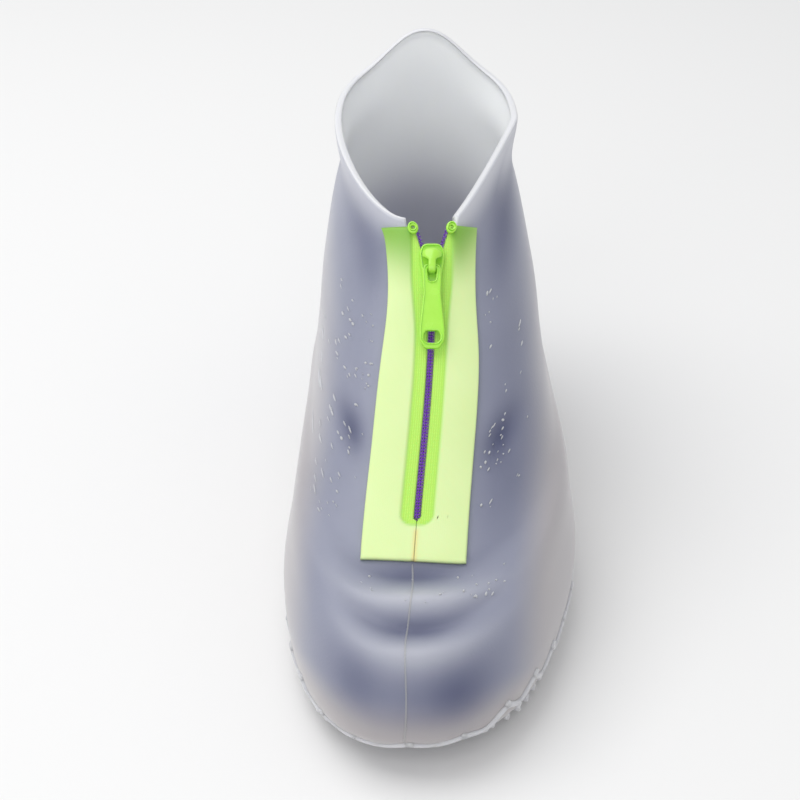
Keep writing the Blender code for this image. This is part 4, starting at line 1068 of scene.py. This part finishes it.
def pull_piece(material):
    """Pull tab: a plate that widens from its ring towards its end, with the ring's hole and a wide one."""
    neck, wide, length = PULL_NECK_HALF, PULL_HALF, PULL_LENGTH
    start = PIVOT_AHEAD - PULL_WALL / 2.0
    half = ((start, neck), (0.25 * length, neck), (0.34 * length, 0.94 * neck), (0.78 * length, wide),
            (0.90 * length, 0.98 * wide), (length, 0.55 * wide))
    outer = [(u, -v) for u, v in half] + [(u, v) for u, v in half[::-1]]
    radii = (0.0029, 0.004, 0.006, 0.006, 0.003, 0.002)
    ring_low, ring_high, ring_half = start + PULL_WALL, PIVOT_AHEAD + 0.0062, neck - 0.0014
    ring_tip = ring_half * 0.7
    ring = ((ring_low, -ring_half), (ring_low, ring_half), (ring_high, ring_tip), (ring_high, -ring_tip))
    slot_half_widths = ((0.79, 0.0021), (0.84, 0.0029), (0.90, 0.0029), (0.935, 0.0018))
    far = [(u * length, v) for u, v in slot_half_widths]
    slot = [(far[0][0], -far[0][1])] + far + [(u, -v) for u, v in far[:0:-1]]
    outline = rounded_loop(outer, radii + radii[::-1])
    loops = [outline, rounded_loop(ring, 0.0015), rounded_loop(slot, 0.0010, 4)]
    points, faces = slab(loops, PIVOT_HEIGHT - PULL_WALL / 2.0, PIVOT_HEIGHT + PULL_WALL / 2.0, 0.00045)
    points, faces = faced((placed(slider_frame(), points), faces))
    return sharpen(make_piece("pull_plate", points, faces, material, body="pull",
                              replaces=("pull_tab",)), 50)


def droplet_piece(material):
    """Tiny air bubbles that stand up in the skin: seeded half ellipsoids of three rings each.

    Those that come too near the turn's limit, where they would be squashed, are left out."""
    source = np.random.default_rng(41)
    spots = []
    for nearest, furthest, left, right, drawn in BUBBLE_PATCHES:
        depths = source.uniform(nearest, furthest, drawn)
        places = source.uniform(left, right, drawn)
        spots.append(np.stack((depths, places), axis=-1))
    spots = np.concatenate(spots) / 1000.0
    count = len(spots)
    size = source.uniform(BUBBLE_SMALL, BUBBLE_LARGE, count)[:, None, None]
    long = source.uniform(1.0, 2.1, count)[:, None, None]
    lean = source.uniform(-0.6, 0.6, count)[:, None, None]
    ring = np.linspace(0.0, 2.0 * math.pi, 8, endpoint=False)[None, None, :]
    reach = np.array((1.0, 0.80, 0.42))[None, :, None]
    rise = np.array((-0.25, 0.52, 0.86))[None, :, None]
    down = size * long * reach * np.cos(ring)
    side = size * reach * np.sin(ring) + down * lean
    depth, place = spots[:, 0, None, None] + down, spots[:, 1, None, None] + side
    height = np.broadcast_to(size * rise, down.shape) * 1.1
    clear = np.abs(turn_at(level_at(depth), place)).max(axis=(1, 2)) < BUBBLE_TURN
    spots, size, depth, place, height = (values[clear] for values in (spots, size, depth, place, height))
    count = len(spots)
    points = raised(depth, place, height).reshape(count, 24, 3)
    crown = raised(spots[:, 0], spots[:, 1], size[:, 0, 0] * 1.05)[:, None]
    points = np.concatenate((points, crown), axis=1)
    pattern = strip(range(0, 8), range(8, 16), True) + strip(range(8, 16), range(16, 24), True)
    pattern += [[16 + k, 16 + (k + 1) % 8, 24] for k in range(8)] + [list(range(7, -1, -1))]
    one = (points[0], pattern)
    if faced(one)[1] != pattern:
        pattern = [face[::-1] for face in pattern]
    faces = [[index + 25 * k for index in face] for k in range(count) for face in pattern]
    # Toned pale all over: partly the whitish look of the bubbles, partly a painted highlight standing in for
    # their glints
    return make_piece("skin_bubbles", points, faces, material,
                      attributes=even_tones(count * 25, 0.62))


def mould_line_piece(material):
    """Fine mould line: a low half-round ridge down the toe's middle, waving by a slow sine."""
    depth = np.linspace(TAPE_END + 0.0006, FRONT_LENGTH - 0.004, 120)
    place = 0.0005 * np.sin(depth * 140.0) - 0.0004
    path = raised(depth, place, 0.0)
    out = skin_normal(level_at(depth), 0.0)
    along = unit(np.gradient(path, axis=0))
    angles = np.linspace(-0.3, math.pi + 0.3, 7)
    profile = np.stack((np.cos(angles) * 0.00030, np.sin(angles) * 0.00005), axis=-1)
    points, faces = faced(swept(path, unit(np.cross(along, out)), out, profile, 0.4))
    level, turn = level_at(np.repeat(depth, 7)), np.zeros(840)
    milk_and_painted_light, painted_shade_and_dark, warm = skin_tones(level, turn, points, np.zeros(840))
    tones = {"milk_and_painted_light": np.clip(milk_and_painted_light + 0.40, 0, 1), "painted_shade_and_dark": painted_shade_and_dark, "warm": warm}
    return make_piece("mould_line", points, faces, material, attributes=tones)


def stop_pieces(side, material):
    """Top stop: a round-edged oval bead with a hole, on the tape's upper end."""
    name = "left" if side < 0 else "right"
    level, lower = level_at(STOP_DEPTH), level_at(STOP_DEPTH + 0.004)
    origin = skin(level, turn_at(level, side * STOP_SIDE))
    ahead = skin(lower, turn_at(lower, side * part_half(STOP_DEPTH + 0.004)))
    behind = skin(level, turn_at(level, side * part_half(STOP_DEPTH)))
    out = unit(skin_normal(level, turn_at(level, side * STOP_SIDE)))
    along = unit(ahead - behind)
    across = unit(np.cross(out, along))
    along = unit(np.cross(across, out))
    angles = np.linspace(0.0, 2.0 * math.pi, 36, endpoint=False)
    outer = np.stack((STOP_LENGTH / 2.0 * np.cos(angles), STOP_HALF * np.sin(angles)), axis=-1)
    hole = np.stack((STOP_HOLE * np.cos(-angles), STOP_HOLE * np.sin(-angles)), axis=-1)
    low = FIT_GAP * 2.0 + TAPE_WALL + 0.0003
    body = slab([outer, hole[::2]], low, low + STOP_WALL, 0.0006)
    points = placed((origin, along, across, out), body[0])
    stop = make_piece("top_stop_bead_" + name, points, body[1], material,
                      replaces=("top_stop_" + name,))
    return sharpen(stop, 60)


def new_material(name):
    """Material with its node tree and its shader."""
    material = bpy.data.materials.new(name)
    material.use_nodes = True
    tree = material.node_tree
    return material, tree, tree.nodes["Principled BSDF"]


def add(tree, kind, inputs=None, **settings):
    """Node of a kind with its settings, input values and input links."""
    node = tree.nodes.new(kind)
    for key, value in settings.items():
        setattr(node, key, value)
    for key, value in (inputs or {}).items():
        socket = node.inputs[key]
        if isinstance(value, bpy.types.NodeSocket):
            tree.links.new(value, socket)
        else:
            socket.default_value = value
    return node


def mixed(tree, factor, first, second):
    """Colour mixed from two by a factor."""
    node = tree.nodes.new("ShaderNodeMix")
    node.data_type = "RGBA"
    for socket, value in ((node.inputs[0], factor), (node.inputs[6], first), (node.inputs[7], second)):
        if isinstance(value, bpy.types.NodeSocket):
            tree.links.new(value, socket)
        else:
            socket.default_value = value if isinstance(value, float) else (*value, 1.0)
    return node.outputs[2]


def maths(tree, operation, first, second):
    """Number worked out from two."""
    node = tree.nodes.new("ShaderNodeMath")
    node.operation = operation
    for socket, value in ((node.inputs[0], first), (node.inputs[1], second)):
        if isinstance(value, bpy.types.NodeSocket):
            tree.links.new(value, socket)
        else:
            socket.default_value = value
    return node.outputs[0]


def attribute(tree, name):
    """Value of a piece's own point attribute."""
    return add(tree, "ShaderNodeAttribute", attribute_name=name).outputs["Fac"]


def grain_group():
    """Group: fine moulded grain and slow clouding, from object coordinates."""
    group = bpy.data.node_groups.new("moulded_grain", "ShaderNodeTree")
    face = group.interface
    face.new_socket("Grain Scale", in_out="INPUT", socket_type="NodeSocketFloat")
    face.new_socket("Cloud Scale", in_out="INPUT", socket_type="NodeSocketFloat")
    face.new_socket("Grain", in_out="OUTPUT", socket_type="NodeSocketFloat")
    face.new_socket("Cloud", in_out="OUTPUT", socket_type="NodeSocketFloat")
    start, end = group.nodes.new("NodeGroupInput"), group.nodes.new("NodeGroupOutput")
    place = group.nodes.new("ShaderNodeTexCoord").outputs["Object"]
    fine = add(group, "ShaderNodeTexNoise", {"Vector": place, "Scale": start.outputs[0], "Detail": 4.0})
    slow = add(group, "ShaderNodeTexNoise", {"Vector": place, "Scale": start.outputs[1], "Detail": 2.5})
    group.links.new(fine.outputs["Fac"], end.inputs[0])
    group.links.new(slow.outputs["Fac"], end.inputs[1])
    return group


def grained(tree, group, grain, cloud):
    """Grain group placed in a material with its own scales."""
    node = tree.nodes.new("ShaderNodeGroup")
    node.node_tree = group
    node.inputs["Grain Scale"].default_value = grain
    node.inputs["Cloud Scale"].default_value = cloud
    return node.outputs["Grain"], node.outputs["Cloud"]


def silicone_material(group):
    """Frosted, milky silicone: blue-grey over the foot, pale at rim and ribs, with painted shade in dents and
    patches, a painted highlight on fold ridges and painted light on the upper inner wall.
    """
    material, tree, shader = new_material("frosted_silicone")
    grain, cloud = grained(tree, group, 900.0, 26.0)
    body = mixed(tree, cloud, SILICONE_DEEP, SILICONE_HAZY)
    body = mixed(tree, attribute(tree, "warm"), body, SILICONE_WARM)
    body = mixed(tree, attribute(tree, "painted_shade_and_dark"), body, SILICONE_SHADE_AND_DARK)
    body = mixed(tree, attribute(tree, "milk_and_painted_light"), body, SILICONE_MILK_AND_PAINTED_LIGHT)
    body = mixed(tree, attribute(tree, "inner"), body, SILICONE_INNER_PAINTED_LIGHT)
    tree.links.new(body, shader.inputs["Base Color"])
    rough = maths(tree, "ADD", maths(tree, "MULTIPLY", cloud, 0.16), 0.36)
    tree.links.new(rough, shader.inputs["Roughness"])
    bump = add(tree, "ShaderNodeBump", {"Height": grain, "Strength": 0.10, "Distance": 0.0004})
    tree.links.new(bump.outputs[0], shader.inputs["Normal"])
    shader.inputs["Subsurface Weight"].default_value = 0.45
    shader.inputs["Subsurface Radius"].default_value = (1.0, 1.0, 1.15)
    shader.inputs["Subsurface Scale"].default_value = 0.004
    shader.inputs["Sheen Weight"].default_value = 0.35
    shader.inputs["Sheen Roughness"].default_value = 0.45
    return material


def tape_material(group):
    """Lime tape: bare weave by the teeth, paler and smooth where the silicone film laps it."""
    material, tree, shader = new_material("lime_tape")
    grain, cloud = grained(tree, group, 700.0, 40.0)
    film, lip, seam = (attribute(tree, name) for name in ("film", "lip", "seam"))
    uv = add(tree, "ShaderNodeUVMap", uv_map="UVMap").outputs[0]
    warp = add(tree, "ShaderNodeTexWave", {"Vector": uv, "Scale": 42.0}, bands_direction="X").outputs["Fac"]
    weft = add(tree, "ShaderNodeTexWave", {"Vector": uv, "Scale": 56.0}, bands_direction="Y").outputs["Fac"]
    weave = maths(tree, "MULTIPLY", warp, weft)
    bare = mixed(tree, weave, WEAVE_LOW, WEAVE_HIGH)
    covered = mixed(tree, cloud, FILM_LOW, FILM_HIGH)
    covered = mixed(tree, attribute(tree, "green"), covered, TAPE_TOP_GREEN)
    colour = mixed(tree, film, bare, covered)
    colour = mixed(tree, maths(tree, "MULTIPLY", lip, 0.55), colour, LIP_GREEN)
    colour = mixed(tree, maths(tree, "MULTIPLY", seam, 0.7), colour, SEAM_TAN)
    tree.links.new(colour, shader.inputs["Base Color"])
    rough = maths(tree, "SUBTRACT", 0.78, maths(tree, "MULTIPLY", film, 0.28))
    tree.links.new(rough, shader.inputs["Roughness"])
    height = maths(tree, "MULTIPLY", weave, maths(tree, "SUBTRACT", 1.0, maths(tree, "MULTIPLY", film, 0.85)))
    height = maths(tree, "ADD", height, maths(tree, "MULTIPLY", grain, 0.15))
    bump = add(tree, "ShaderNodeBump", {"Height": height, "Strength": 0.5, "Distance": 0.0002})
    tree.links.new(bump.outputs[0], shader.inputs["Normal"])
    shader.inputs["Subsurface Weight"].default_value = 0.10
    shader.inputs["Subsurface Scale"].default_value = 0.001
    return material


def plain_material(name, group, low, high, rough, bump_strength, coat=0.0):
    """Moulded plastic of two close tones with fine grain."""
    material, tree, shader = new_material(name)
    grain, cloud = grained(tree, group, 1200.0, 180.0)
    tree.links.new(mixed(tree, cloud, low, high), shader.inputs["Base Color"])
    clouded = maths(tree, "ADD", maths(tree, "MULTIPLY", cloud, 0.12), rough - 0.06)
    tree.links.new(clouded, shader.inputs["Roughness"])
    bump = add(tree, "ShaderNodeBump", {"Height": grain, "Strength": bump_strength, "Distance": 0.0001})
    tree.links.new(bump.outputs[0], shader.inputs["Normal"])
    shader.inputs["Coat Weight"].default_value = coat
    return material


def stage_floor():
    """Plain pale floor that fills the view."""
    mesh = bpy.data.meshes.new("studio_floor")
    corners = [(x * FLOOR_HALF, y * FLOOR_HALF, 0.0) for x, y in ((-1, -1), (1, -1), (1, 1), (-1, 1))]
    mesh.from_pydata(corners, [], [(0, 1, 2, 3)])
    floor = bpy.data.objects.new("studio_floor", mesh)
    bpy.context.scene.collection.objects.link(floor)
    material, tree, shader = new_material("studio_floor")
    shader.inputs["Base Color"].default_value = (*FLOOR_COLOUR, 1.0)
    shader.inputs["Roughness"].default_value = 1.0
    shader.inputs["Specular IOR Level"].default_value = 0.0
    mesh.materials.append(material)


def area_light(name, place, target, size, power):
    """Square soft light aimed at a point."""
    lamp = bpy.data.lights.new(name, "AREA")
    lamp.size = size
    lamp.energy = power
    item = bpy.data.objects.new(name, lamp)
    bpy.context.scene.collection.objects.link(item)
    item.location = place
    item.rotation_euler = (Vector(target) - Vector(place)).to_track_quat("-Z", "Y").to_euler()


def studio():
    """World, soft lights and the camera at the photograph's angle."""
    scene = bpy.context.scene
    world = bpy.data.worlds.new("studio")
    scene.world = world
    world.use_nodes = True
    background = world.node_tree.nodes["Background"]
    background.inputs[0].default_value = (*WORLD_COLOUR, 1.0)
    background.inputs[1].default_value = WORLD_STRENGTH
    scene.view_settings.view_transform = "Standard"
    for name, place, size, power in LIGHTS:
        area_light(name, place, LIGHT_TARGET, size, power)
    camera = bpy.data.objects.new("camera", bpy.data.cameras.new("camera"))
    scene.collection.objects.link(camera)
    azimuth, elevation = math.radians(CAMERA_AZIMUTH), math.radians(CAMERA_ELEVATION)
    level_share = math.cos(elevation)
    back = Vector((math.sin(azimuth) * level_share, -math.cos(azimuth) * level_share, math.sin(elevation)))
    camera.location = Vector(CAMERA_TARGET) + back * CAMERA_DISTANCE
    camera.rotation_euler = (-back).to_track_quat("-Z", "Y").to_euler()
    camera.data.lens = CAMERA_LENS
    camera.data.sensor_width = SENSOR_WIDTH
    camera.data.clip_start = 0.01
    scene.camera = camera


# Materials, pieces and studio, in the order in which they are made
grain = grain_group()
silicone = silicone_material(grain)
tape = tape_material(grain)
purple = plain_material("purple_coil", grain, PURPLE_LOW, PURPLE_HIGH, 0.38, 0.1)
lime = plain_material("lime_gloss", grain, LIME_LOW, LIME_HIGH, 0.26, 0.05, coat=0.3)
shell_piece(silicone)
tread_piece(silicone)
bead_piece(silicone)
for hand in (-1, 1):
    tape_piece(hand, tape)
    coil_piece(hand, purple)
    stop_pieces(hand, lime)
slider_pieces(lime)
pull_piece(lime)
droplet_piece(silicone)
mould_line_piece(silicone)
stage_floor()
studio()
